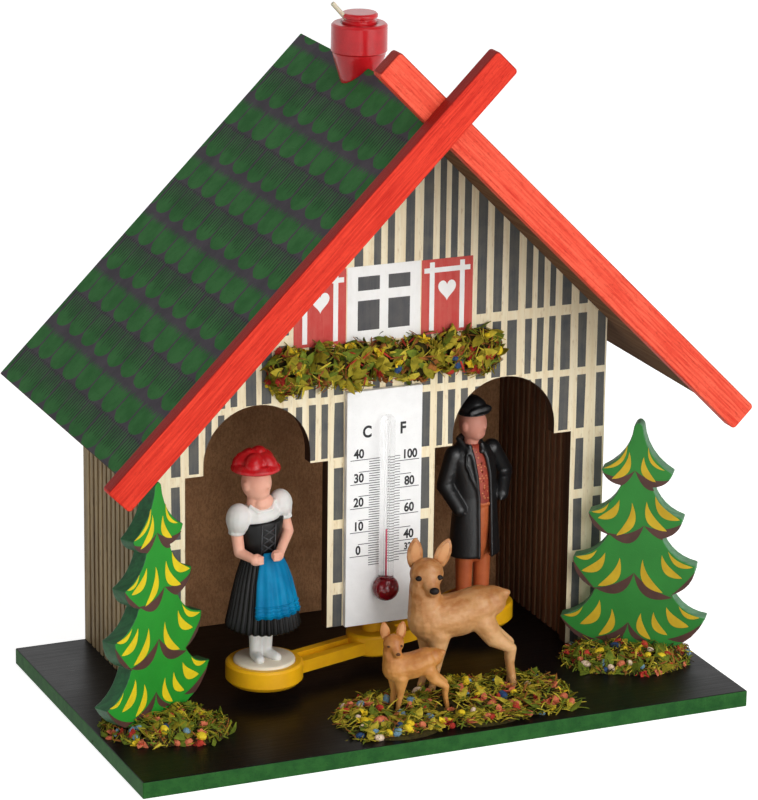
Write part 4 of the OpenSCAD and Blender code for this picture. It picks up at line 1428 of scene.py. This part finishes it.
def coat_front(drawing, side):
    """One front edge with its lapel, and that half of the collar."""
    edge = []
    for z, middle, wide, deep, gap in COAT:
        aside = gap + (SKEW if side > 0 else 0)
        edge.append((middle + side * aside, -deep * math.sqrt(1 - (aside / wide) ** 2) - 0.05, z))
    tube(drawing, edge, LAPELS)
    neck = COAT[-1][1]
    collar = [(neck + side * 1.8, -2.9, 37.9), (neck + side * 2.9, 0.2, 40.7), (neck + 0.2, 2.4, 41)]
    for first, second in zip(collar, collar[1:]):
        limb(drawing, first, 0.75, second, 0.7)
    lapel = [(neck + side * 2.4, -3.0, 38.4), (neck + 0.4 + side * 3.4, -3.55, 35.2),
             (neck + 1.9 + side * 2.0, -4.05, 28.5)]
    for first, second in zip(lapel, lapel[1:]):
        limb(drawing, first, 0.22, second, 0.18)


def coat_sleeve(drawing, side, shoulder, elbow, pocket):
    """An arm that ends in the pocket, with folds at the bend."""
    shoulder, elbow, pocket = Vector(shoulder), Vector(elbow), Vector(pocket)
    upper_turn = Matrix.Rotation(side * 0.5, 4, "Y")
    lower_turn = Matrix.Rotation(-0.8, 4, "X")
    limb(drawing, shoulder, 2.2, elbow, 1.95)
    limb(drawing, elbow, 1.95, pocket, 1.7)
    for fold, grow in ((0.55, 2.2), (0.8, 2.15), (1.0, 2.25)):
        ball(drawing, shoulder.lerp(elbow, fold), (grow, grow, 0.45), turn=upper_turn)
    for fold, grow in ((0.2, 2.1), (0.45, 2.0)):
        ball(drawing, elbow.lerp(pocket, fold), (grow, grow, 0.45), turn=lower_turn)
    flap_low = pocket + Vector((-side * 1.0, -1.3, -1.0))
    limb(drawing, flap_low, 0.4, pocket + Vector((side * 0.9, -0.2, 0.5)), 0.4)


def long_coat():
    drawing = standing(man_at)
    loft(drawing, [open_hoop(*level) for level in COAT])
    for side, sleeve in zip((-1, 1), SLEEVES):
        coat_front(drawing, side)
        coat_sleeve(drawing, side, *sleeve)
    return clay(drawing, 0.25, 2)


def pointed_hat():
    drawing = standing(man_at, -1.8)
    tilt = Matrix.Rotation(math.radians(-6), 4, "Y")
    ball(drawing, (-0.1, -0.4, 47.5), (4.3, 4.6, 0.55), turn=tilt)
    loft(drawing, [oval(47.2, 3.6, 3.7), oval(48.6, 3.4, 3.5), oval(49.8, 2.6, 3.0), oval(50.6, 1.6, 2.3),
                   oval(51.1, 0.7, 1.4)])
    ball(drawing, (0, -3.3, 48.2), (3.2, 0.7, 1.0), turn=tilt)
    ball(drawing, (2.6, -1.4, 48.1), (1.4, 2.2, 0.5), turn=tilt)
    return clay(drawing, 0.22, 2)


coat_black = plastic("coat_black", paint(27, 27, 28), paint(19, 19, 20), 0.34, 0.05, 0.6)
face_pink = plastic("face_pink", paint(218, 150, 130), paint(206, 138, 118), 0.45)
man_part("coat", long_coat(), coat_black)
man_head = plain_head(man_at, (-1.9, -0.2, 44.2), (3.2, 3.5, 4.1), 37.4)
man_part("head", clay(man_head, 0.22, 2), face_pink)
man_part("hat", pointed_hat(), coat_black)
print("man's pieces:", len(pieces_named("man_")))

# %% [markdown]
# ## Doe and fawn
# Both animals were cast in tan plastic and lightly sprayed: darker on the back, paler below. Limbs and
# balls follow a deer's anatomy, and one builder serves both, with a lower head for the fawn. Ears, eyes
# and nose are separate.

# %% Forms of doe and fawn
DEER_MODEL = 36.0
DEER_TURN = -14
DOE = ("doe", (12.3, -18.8), 37.2 / DEER_MODEL, Vector((-7.7, -0.8, 28.4)))
FAWN = ("fawn", (-2.9, -27.6), 22.6 / DEER_MODEL, Vector((-7.8, -0.8, 27.2)))
EARS = {"doe": (((-2.6, 1.0, 1.2), (-2.4, 1.4, 8.0)), ((2.7, 1.0, 1.2), (5.2, 1.4, 7.5))),
        "fawn": (((-2.6, 1.0, 1.4), (-3.6, 1.4, 8.0)), ((2.5, 1.0, 1.4), (3.6, 1.4, 8.0)))}
EAR_HALF = 1.85
EAR_THICK = 0.45
EYE = Vector((0.85, 0.45, 0.62))
NOSE = Vector((1.15, 0.6, 0.85))
EAR_SHAPE = ((0, 0.6), (0.15, 0.85), (0.35, 1), (0.58, 0.95), (0.8, 0.68), (0.94, 0.34), (1, 0.1))
FORE_HOOVES = ((-6.3, -1.9), (-8.0, 1.9))
HIND_HOOVES = ((12.4, -2), (12.6, 2))


def deer_drawing(spot, scale):
    """A drawing round the middle between an animal's hooves, in the millimetres of the full-grown model."""
    return Drawing(Matrix.Translation((*spot, BASE_TOP)) @ Matrix.Rotation(math.radians(DEER_TURN), 4, "Z")
                   @ Matrix.Scale(scale, 4))


def limb_chain(drawing, joints):
    """Limbs through joints, each a place and a radius."""
    for (start, start_radius), (end, end_radius) in zip(joints, joints[1:]):
        limb(drawing, start, start_radius, end, end_radius)


def deer_legs(drawing):
    for x, y in FORE_HOOVES:
        limb_chain(drawing, (((x + 1.3, y, 14.4), 3.0), ((x + 1.1, y, 7.4), 1.25), ((x + 0.9, y, 6.4), 1.2),
                             ((x + 0.2, y, 1.9), 0.85), ((x - 0.1, y, 0.8), 0.95)))
    for x, y in HIND_HOOVES:
        limb_chain(drawing, (((x - 7.2, y, 16.6), 2.9), ((x - 4.8, y, 12.8), 2.2), ((x - 0.7, y, 10.1), 1.25),
                             ((x - 0.8, y, 6.5), 0.9), ((x - 0.1, y, 1.8), 0.85), ((x - 0.3, y, 0.8), 0.95)))


def deer_skin(spot, scale, head):
    drawing = deer_drawing(spot, scale)
    deer_legs(drawing)
    limb_chain(drawing, (((-6.8, 0, 17.2), 5.0), ((0, 0, 18.2), 5.0), ((4.4, 0, 19.9), 4.7),
                         ((7.2, 0, 21.0), 3.5)))
    limb_chain(drawing, (((8.4, 0, 22.6), 1.7), ((10.9, 0, 22.8), 0.75), ((8.6, 0, 18.6), 0.8)))
    limb_chain(drawing, (((-7.4, 0, 18.6), 4.4), (head + Vector((-0.5, 0.2, -3.4)), 3.4), (head, 3.4)))
    ball(drawing, head, (3.9, 3.6, 3.6))
    muzzle = head + Vector((0.9, -3.8, -2.8))
    limb(drawing, head + Vector((0.2, -1.2, -0.5)), 2.7, muzzle, 1.55)
    ball(drawing, muzzle + Vector((-0.2, 1.0, -0.6)), (1.6, 1.9, 1.2))
    return clay(drawing, 0.33 * scale, 3)


def leaf_ear(drawing, root, tip, share, forward):
    """A pointed leaf between two places, pushed forward by so many millimetres."""
    along = tip - root
    side = along.cross(Vector((0, 1, 0))).normalized()
    out = side.cross(along).normalized()
    rings = []
    for rise, width in EAR_SHAPE:
        middle = root + along * rise - out * forward
        aside = side * EAR_HALF * share * width
        thick = out * EAR_THICK * share * width
        rings.append([middle + aside * math.cos(t) + thick * math.sin(t) for t in full_turn(16)])
    loft(drawing, rings)


def deer_ears(node, spot, scale, head):
    outer = deer_drawing(spot, scale)
    inner = deer_drawing(spot, scale)
    for root, tip in EARS[node]:
        root, tip = head + Vector(root), head + Vector(tip)
        leaf_ear(outer, root, tip, 1.0, 0.0)
        leaf_ear(inner, root.lerp(tip, 0.14), root.lerp(tip, 0.88), 0.6, 0.28)
    return outer, inner


def deer_face(spot, scale, head, size):
    """Eyes and the tip of the nose."""
    drawing = deer_drawing(spot, scale)
    for side in (-1, 1):
        ball(drawing, head + Vector((side * 2.3 + 0.1, -2.85, -0.1)), EYE * size, around=14, stack=8)
    ball(drawing, head + Vector((0.9, -5.2, -2.4)), NOSE * size, around=14, stack=8)
    return drawing.mesh("face")


print("doe", round(DOE[2], 2), "and fawn", round(FAWN[2], 2), "of the model")

# %% [markdown]
# The spray runs from the belly to the back with soft borders. Under it a coarse noise stands for the
# facets that the carver's knife left, both as relief and as painted shade: a little more of the dark
# colour in the hollows.


# %% Coats and pieces of the deer
def deer_coat(name, back, flank, belly, low, high):
    """Sprayed plastic with carved facets: the colour goes from belly to back with soft, uneven borders."""
    finish = Finish(name, Subsurface_Weight=0.08, Subsurface_Scale=0.001)
    height = split(finish.tree, finish.point)[2]
    mottle, speck = uneven_of(finish, 5.0)
    brushed = finish.noise(0.5, 4, 0.6, (0.5, 1, 1)).step(0.35, 0.65)
    carved = finish.noise(0.3, 2)
    level = height + (mottle * 4.0 - 2.0)
    colour = finish.mixed(level.step(low, (low + high) / 2), belly, flank)
    colour = finish.mixed(level.step((low + high) / 2, high), colour, back)
    colour = finish.mixed(level.step(low - 2, low - 5) * 0.8, colour, flank)
    colour = finish.mixed(brushed * 0.45, colour, belly)
    # Painted shade: the hollows of the carved facets are painted towards the darker back colour.
    colour = finish.mixed(carved.step(0.5, 0.3) * 0.3, colour, back)
    finish.set("Base_Color", colour)
    finish.set("Roughness", mottle * 0.15 + 0.36)
    finish.bump(carved * 4.0 + brushed * 0.15 + speck * 0.1, 0.16)
    return finish


def deer_part(node, name, mesh, finish):
    add_piece(node + "_" + name, mesh, "house", [finish], True, [node])


ear_inside = plastic("ear_inside", paint(208, 150, 98), paint(188, 126, 76), 0.5)
eye_dark = plastic("eye_dark", paint(36, 26, 22), paint(24, 17, 15), 0.3, 0.02, 0.15)
eye_brown = plastic("eye_brown", paint(92, 58, 34), paint(72, 44, 26), 0.4, 0.02, 0.15)
doe_coat = deer_coat("doe_coat", paint(168, 106, 52), paint(196, 140, 84), paint(216, 168, 116), 15, 30)
fawn_coat = deer_coat("fawn_coat", paint(172, 104, 44), paint(196, 132, 64), paint(212, 152, 84), 11, 20)
for animal, coat, eyes, eye_size in ((DOE, doe_coat, eye_dark, 1), (FAWN, fawn_coat, eye_brown, 0.75)):
    node, spot, scale, head = animal
    outer, inner = deer_ears(node, spot, scale, head)
    deer_part(node, "skin", deer_skin(spot, scale, head), coat)
    deer_part(node, "ears", outer.mesh("ears"), coat)
    deer_part(node, "inner_ears", inner.mesh("inner_ears"), ear_inside)
    deer_part(node, "face", deer_face(spot, scale, head, eye_size), eyes)
print("deer stand on z", round(BASE_TOP, 2), "mm")

# %% [markdown]
# ## Fir trees
# The firs are sawn from thin board and printed: bright green faces, green edges, brown shadows under the
# boughs and yellow strokes that follow them. Both boards carry the same print. The edges have their own
# colours, chosen by the facing of the surface, and they carry painted light and shade: the right board's
# edges are painted paler for light from the right, and the left board's darker as painted shade.

# %% Fir boards
TREE_THICK = 4
TREES = (("left_tree", (-61, -12.5), 28), ("right_tree", (61, -12.5), -35))


def tree_place(spot, turn):
    return Matrix.Translation((*spot, BASE_TOP)) @ Matrix.Rotation(math.radians(turn), 4, "Z")


def fir_paint(name, turn, face, edge_light, edge_dark):
    finish = Finish(name, Roughness=0.5, Specular_IOR_Level=0.3)
    mottle, speck = uneven_of(finish, 9.0)
    streak, pore = grain_of(finish, ALONG_X, 1.2)
    front = finish.mixed(mottle, face, tuple(c * 0.86 for c in face[:3]) + (1,))
    edge = finish.mixed(streak, edge_light, edge_dark)
    outward = shader_part(finish.tree, "ShaderNodeVectorMath", Vector=finish.facing)
    outward.operation = "DOT_PRODUCT"
    outward.inputs[1].default_value = (math.sin(math.radians(turn)), -math.cos(math.radians(turn)), 0)
    flat = Wire(finish.tree, outward.outputs["Value"]).math("ABSOLUTE").step(0.85, 0.95)
    finish.set("Base_Color", finish.mixed(flat, edge, front))
    finish.bump(mottle * 0.5 + pore * -0.6 + speck * 0.3, 0.04)
    return finish


# Painted light and shade: the right board's edges are painted pale for light from the right, the left's dark.
fir_left = fir_paint("fir_left", TREES[0][2], paint(38, 150, 44), paint(36, 92, 52), paint(24, 70, 40))
fir_right = fir_paint("fir_right", TREES[1][2], paint(48, 132, 52), paint(100, 154, 110), paint(70, 124, 82))
softened("left_tree", 0.3, fir_left)
softened("right_tree", 0.3, fir_right)
print("fir boards dressed")

# %% [markdown]
# Each stroke runs from its top to its end, with its width, in millimetres from the foot of the board,
# tier by tier. It bows towards the trunk, pointed at its start and blunter at its end, as a loaded brush
# leaves it. Under the lobes of a tier lie brown shadows, crescents given by their two ends and the depths
# of their two arcs. All are slightly raised, like poster paint, and a Boolean trims them to the sawn
# board.

# %% Print on the firs
STROKES = (((-2.5, 53, -8, 46.5, 0.9), (-2, 51, -6, 44, 1.7), (1.5, 50, 4.5, 44, 1.6),
            (2.5, 52.5, 6.5, 47, 0.8)),
           ((-6.5, 38, -10.5, 35.5, 0.8), (-4, 39, -9, 34, 1.9), (-1, 38.5, -4.5, 30, 1.9),
            (2.5, 39, 7.5, 32, 2), (4.5, 40.5, 10.5, 35, 1.9)),
           ((-9, 26, -14, 24, 1.1), (-7, 25.5, -12.5, 20.5, 2), (-3.5, 24.5, -8.5, 17, 2.1),
            (2, 24.5, 7, 16.5, 1.9), (6.5, 26, 11.5, 20.5, 1.8), (8, 27, 14, 23.5, 1.2)),
           ((-12, 11.5, -16.5, 9, 0.8), (-8, 13.5, -12.5, 7, 2.1), (-5, 11.5, -8, 4.5, 1.8),
            (2, 11, 4.5, 4.5, 1.8), (5, 11.5, 8.5, 6, 1.7), (8, 13, 13.5, 8.5, 2.2), (11, 13.5, 16, 11, 1.1)))
STROKE_BOW = 0.19
LOBES = (((-9, 46), (-0.5, 46.5), 4, 1.6), ((-0.5, 46.5), (8.5, 45), 4, 1.3),
         ((-11.5, 35.5), (-6, 30), 3, 0.2), ((-6.5, 30.5), (2, 33), 3.6, 1.1),
         ((2, 33), (11.5, 34.5), 4, 1.3),
         ((-15, 23.5), (-9, 16), 3, 0.2), ((-9.5, 16.5), (0, 21), 3.4, 0.9), ((0, 21), (9.5, 15.5), 3.4, 0.9),
         ((9, 16), (15, 23), 3, 0.2), ((-17.5, 9), (-8.5, 3.5), 3, 1), ((-9, 4), (-1, 8.5), 3, 0.8),
         ((-1, 8.5), (4, 4), 2, 0.6), ((8.5, 5), (17.5, 10.5), 3, 0.8))
PAINT = 0.06


def arc(start, end, bulge, steps=10):
    """Points on a parabola from start to end, bulging to the right of the way by so many millimetres."""
    start, end = Vector(start), Vector(end)
    way = end - start
    aside = Vector((way.y, -way.x)).normalized()
    shares = [i / steps for i in range(steps + 1)]
    return [start + way * t + aside * bulge * 4 * t * (1 - t) for t in shares]


def crescent(start, end, outer, inner):
    """Outline between two arcs that share their ends."""
    return arc(start, end, outer) + arc(start, end, inner)[-2:0:-1]


def brush_stroke(start, end, bow, width, steps=14):
    """Outline of a bowed stroke, pointed at its start and blunter at its end."""
    spine = arc(start, end, bow, steps)
    aside = Vector((spine[-1].y - spine[0].y, spine[0].x - spine[-1].x)).normalized()
    halves = [width * 0.53 * math.sin(math.pi * (i / steps) ** 1.25) ** 0.75 for i in range(steps + 1)]
    right = [p + aside * half for p, half in zip(spine, halves)]
    left = [p - aside * half for p, half in zip(spine, halves)]
    return right + left[-2:0:-1]


def on_tree(u, v, depth):
    return Vector((u, -TREE_THICK / 2 - depth, v))


def printed_on_tree(node, spot, turn, outlines, thickness):
    drawing = Drawing(tree_place(spot, turn))
    for outline in outlines:
        drawing.prism(outline, on_tree, -0.1, thickness)
    lift = Matrix.Rotation(math.radians(turn), 3, "Z") @ Vector((0, -2 * PAINT, 0))
    return kept_on(node, drawing.mesh("print"), lift)


def stroke_outlines():
    for top_x, top_z, end_x, end_z, width in [stroke for tier in STROKES for stroke in tier]:
        bow = STROKE_BOW * math.hypot(end_x - top_x, end_z - top_z)
        hand = -1 if end_x < top_x else 1
        yield brush_stroke((top_x, top_z), (end_x, end_z), hand * bow, width)


shadows = [crescent(*lobe) for lobe in LOBES]
brown_paint = plastic("brown_paint", paint(88, 54, 46), paint(74, 46, 40), 0.5)
bright_yellow = plastic("bright_yellow", paint(240, 212, 24), paint(228, 196, 20), 0.5)
dull_yellow = plastic("dull_yellow", paint(214, 178, 36), paint(198, 160, 28), 0.5)
for (node, spot, turn), yellow_paint in zip(TREES, (bright_yellow, dull_yellow)):
    brown = printed_on_tree(node, spot, turn, shadows, PAINT / 2)
    add_piece(node + "_shadows", brown, "house", [brown_paint], False)
    strokes = printed_on_tree(node, spot, turn, stroke_outlines(), PAINT)
    add_piece(node + "_strokes", strokes, "house", [yellow_paint], False)
    print(node, "print:", len(brown.polygons), "and", len(strokes.polygons), "faces")

# %% [markdown]
# ## Moss and petals
# Dried moss, chopped leaves and dyed flowers are glued on in heaps. A particle system could scatter them,
# but plain code keeps every shred in one mesh: points are drawn at random on the solid heap, and each
# gets a curved shred, a leaf, a tuft of petals or a seed. Every shred is a thin closed solid. A mixture
# lists the colours that each kind takes, and a colour that is listed twice comes up twice as often.

# %% Shreds, leaves, petals and seeds
EARTH, OLIVE, STRAW, LEAF, BARK, ROSE, CORAL, BLUE, SKY, GOLD, CREAM = range(11)
HEAP_COLOURS = {EARTH: ((66, 58, 22), (46, 40, 16)), OLIVE: ((160, 146, 38), (126, 118, 28)),
                STRAW: ((212, 192, 66), (184, 166, 48)), LEAF: ((120, 134, 38), (86, 100, 28)),
                BARK: ((168, 108, 48), (134, 80, 36)), ROSE: ((196, 66, 48), (160, 44, 36)),
                CORAL: ((220, 128, 92), (194, 98, 66)), BLUE: ((56, 86, 130), (40, 64, 104)),
                SKY: ((128, 164, 184), (102, 138, 160)), GOLD: ((240, 212, 52), (222, 188, 34)),
                CREAM: ((236, 212, 186), (216, 186, 158))}
PETALS = (ROSE, ROSE, CORAL, CORAL, GOLD)
SEEDS = (BLUE, SKY, SKY, GOLD, GOLD, ROSE, CORAL, CORAL, CREAM)
MEADOW = ((EARTH, EARTH, OLIVE, OLIVE, STRAW, LEAF, LEAF, BARK), (OLIVE, LEAF, LEAF), PETALS, SEEDS)
LIGHT_MEADOW = ((EARTH, OLIVE, OLIVE, STRAW, STRAW, LEAF, LEAF, BARK), (OLIVE, STRAW, STRAW, LEAF),
                PETALS, SEEDS)
GARLAND = ((EARTH, OLIVE, OLIVE, STRAW, LEAF, LEAF, BARK, BARK, ROSE), (OLIVE, OLIVE, STRAW, LEAF),
           (ROSE, BARK, GOLD), (GOLD, ROSE, BLUE, BARK))


def shred(drawing, root, along, up, length, width, curl, look):
    """A thin curved blade with a pointed tip."""
    side = along.cross(up).normalized()
    rings = []
    for t, share in ((0, 0.45), (0.35, 1), (0.7, 0.8), (1, 0.1)):
        middle = root + along * length * t + up * curl * math.sin(t * 2.2)
        aside = side * width * share
        rings.append([middle - aside, middle - up * 0.07, middle + aside, middle + up * 0.1])
    loft(drawing, rings, look)


def surface_points(node, outward, count, rng):
    """Random places and facings on the side of a solid that looks outward."""
    mesh = frame["nodes"][node].data
    mesh.calc_loop_triangles()
    open_side = [t for t in mesh.loop_triangles if t.normal.dot(outward) > 0.12]
    for triangle in rng.choices(open_side, [t.area for t in open_side], k=count):
        a, b = sorted((rng.random(), rng.random()))
        first, second, third = [mesh.vertices[i].co / MM for i in triangle.vertices]
        yield first * a + second * (b - a) + third * (1 - b), triangle.normal.copy()


def lying_blade(facing, rng, rise):
    """A random direction along a surface, lifted a little, and the direction that stands on it."""
    spin = Vector((rng.uniform(-1, 1), rng.uniform(-1, 1), rng.uniform(-1, 1)))
    lying = (spin - facing * spin.dot(facing)).normalized()
    along = (lying + facing * rng.uniform(-0.1, rise)).normalized()
    return along, (facing - along * facing.dot(along)).normalized()


def add_moss(drawing, place, facing, rng, looks):
    along, up = lying_blade(facing, rng, 0.55)
    length = rng.uniform(1.8, 4.6)
    width = rng.uniform(0.12, 0.3)
    curl = rng.uniform(-0.2, 0.8)
    shred(drawing, place - along * 1.2, along, up, length, width, curl, rng.choice(looks))


def add_leaf(drawing, place, facing, rng, looks):
    along, up = lying_blade(facing, rng, 0.8)
    size = rng.uniform(0.7, 1.5)
    curl = rng.uniform(-0.2, 0.9)
    shred(drawing, place - along * size, along, up, 3.4 * size, 0.85 * size, curl, rng.choice(looks))


def add_petals(drawing, place, facing, rng, looks):
    look = rng.choice(looks)
    for _ in range(rng.randint(4, 7)):
        along, up = lying_blade(facing, rng, 1.2)
        length = rng.uniform(1.0, 2.1)
        width = rng.uniform(0.45, 0.8)
        shred(drawing, place, along, up, length, width, rng.uniform(0.1, 0.7), look)


def add_seed(drawing, place, facing, rng, looks):
    along, _ = lying_blade(facing, rng, 1.0)
    size = rng.uniform(0.55, 1.15)
    turn = along.to_track_quat("X", "Z").to_matrix().to_4x4()
    reach = (size * rng.uniform(1, 1.5), size, size * 0.85)
    ball(drawing, place + facing * 0.3, reach, rng.choice(looks), turn, 9, 6)


print("colours of shreds:", len(HEAP_COLOURS))

# %% [markdown]
# A heap starts as its solid at half the height, so no hole shows through the shreds that are strewn over
# it. The moss keeps off the hooves, and along the front of the board some of it has slid forward.


# %% Heaps
def hoof_marks():
    """Where the hooves stand, and how far the moss keeps off them."""
    for _, spot, scale, _ in (DOE, FAWN):
        place = deer_drawing(spot, scale).place
        for x, y in FORE_HOOVES + HIND_HOOVES:
            yield place @ Vector((x, y - 1.0, 0)), 1.4 + 1.6 * scale


hooves = list(hoof_marks())
KINDS = (add_moss, add_leaf, add_petals, add_seed)
SLIDE_FROM = -32
BOARD_FRONT = -41.3


def heap(node, outward, counts, mixture, seed, slide):
    """Strews so many of each kind over the side of a solid that looks outward."""
    rng = random.Random(seed)
    drawing = Drawing()
    solid = frame["nodes"][node].data
    points = [v.co / MM for v in solid.vertices]
    foot = min(points, key=lambda p: p.dot(outward))
    shrunk = [p - outward * (p - foot).dot(outward) * 0.5 for p in points]
    drawing.add(shrunk, [list(p.vertices) for p in solid.polygons], 0)
    for add_one, count, looks in zip(KINDS, counts, mixture):
        for place, facing in surface_points(node, outward, count, rng):
            if place.y < SLIDE_FROM:
                place.y = max(place.y - rng.uniform(0, slide), BOARD_FRONT + rng.uniform(0, 2))
                facing = outward
            if all((place.xy - hoof.xy).length > room for hoof, room in hooves):
                add_one(drawing, place - outward * rng.uniform(0.3, 1.4), facing, rng, looks)
    return drawing.mesh(node)


def heap_finish(look, light, dark):
    finish = Finish("moss_%d" % look, Roughness=0.8, Specular_IOR_Level=0.2)
    mottle, speck = uneven_of(finish, 1.6)
    colour = finish.mixed(mottle, paint(*light), paint(*dark))
    finish.set("Base_Color", finish.mixed(speck * 0.3, colour, paint(*[c * 0.6 for c in dark])))
    finish.bump(speck, 0.05)
    return finish


heap_finishes = [heap_finish(look, *colours) for look, colours in sorted(HEAP_COLOURS.items())]
UPWARD = Vector((0, 0, 1))
FORWARD = Vector((0, -1, 0))
HEAPS = (("left_tree_moss", UPWARD, (1100, 120, 30, 44), MEADOW, 11, 0),
         ("right_tree_moss", UPWARD, (1200, 120, 26, 44), MEADOW, 12, 0),
         ("deer_moss", UPWARD, (2200, 260, 60, 90), LIGHT_MEADOW, 13, 5),
         ("window_moss", FORWARD, (1050, 300, 44, 20), GARLAND, 14, 0))
for node, *way in HEAPS:
    shreds = heap(node, *way)
    add_piece(node + "_shreds", shreds, "house", heap_finishes, False, [node])
    print(node, len(shreds.polygons), "faces")

# %% [markdown]
# ## Light and floor
# The photograph's light is large, soft and nearly frontal, a little from the right: fronts are bright,
# while the roof and the left side are duller. Two wide lamps give that, and their low light reaches into
# the doorways. Weak ones stand above and on the left. The lamps are set so that a colour renders about as
# it is written.


# %% Lamps
def area_light(name, place, size, level, target=(0, 0, 60)):
    """A round lamp; a level of 1 renders a facing white surface as white."""
    data = bpy.data.lights.new(name, "AREA")
    data.shape = "DISK"
    data.size = size * MM
    away = (Vector(place) - Vector(target)) * MM
    data.energy = level * math.pi ** 2 * away.length_squared
    light = bpy.data.objects.new(name, data)
    bpy.context.collection.objects.link(light)
    light.location = Vector(place) * MM
    light.rotation_euler = away.to_track_quat("Z", "Y").to_euler()


area_light("key", (420, -880, 220), 700, 0.39)
area_light("front", (0, -980, 140), 800, 0.37)
area_light("top", (140, -600, 800), 700, 0.28)
area_light("left", (-850, -420, 300), 500, 0.11)

# %% [markdown]
# A camera ray sees the pale floor and the world as white, and so do glossy and clear surfaces, but the
# floor still keeps a soft shadow. Rays that only light things find a weaker world, which leaves the
# shaping to the lamps.


# %% World and floor
def seen_directly(tree):
    """1 for rays from the camera, from gloss and through glass, and 0 for rays that only light things."""
    rays = tree.nodes.new("ShaderNodeLightPath")
    camera, gloss, clear = [Wire(tree, rays.outputs[name]) for name in
                            ("Is Camera Ray", "Is Glossy Ray", "Is Transmission Ray")]
    return camera.math("MAXIMUM", gloss).math("MAXIMUM", clear), gloss


def make_world(ambient, dim):
    """White where it is seen; gloss finds the white behind the house and a dim room in front."""
    world = bpy.data.worlds.new("studio")
    world.use_nodes = True
    tree = world.node_tree
    seen, gloss = seen_directly(tree)
    place = tree.nodes.new("ShaderNodeTexCoord")
    depth = split(tree, Wire(tree, place.outputs["Generated"]))[1]
    front = depth.step(0.3, -0.3)
    strength = seen * (1 - ambient) + ambient - gloss * front * (1 - dim)
    sky = tree.nodes["Background"]
    sky.inputs["Color"].default_value = (1, 1, 1, 1)
    connect(tree, strength, sky.inputs["Strength"])
    bpy.context.scene.world = world


def make_floor(radius, glow):
    material = bpy.data.materials.new("floor")
    material.use_nodes = True
    tree = material.node_tree
    shader = tree.nodes["Principled BSDF"]
    shader.inputs["Base Color"].default_value = paint(238, 238, 236)
    shader.inputs["Roughness"].default_value = 0.9
    shader.inputs["Specular IOR Level"].default_value = 0.1
    shader.inputs["Emission Color"].default_value = (1, 1, 1, 1)
    connect(tree, seen_directly(tree)[0] * glow, shader.inputs["Emission Strength"])
    mesh = bpy.data.meshes.new("floor")
    shape = bmesh.new()
    bmesh.ops.create_circle(shape, cap_ends=True, segments=96, radius=radius * MM)
    shape.to_mesh(mesh)
    shape.free()
    mesh.materials.append(material)
    floor = bpy.data.objects.new("floor", mesh)
    bpy.context.collection.objects.link(floor)


make_world(ambient=0.25, dim=0.12)
make_floor(radius=4000, glow=0.8)
bpy.context.scene.view_settings.view_transform = "Standard"
print("stage set, view transform", bpy.context.scene.view_settings.view_transform)
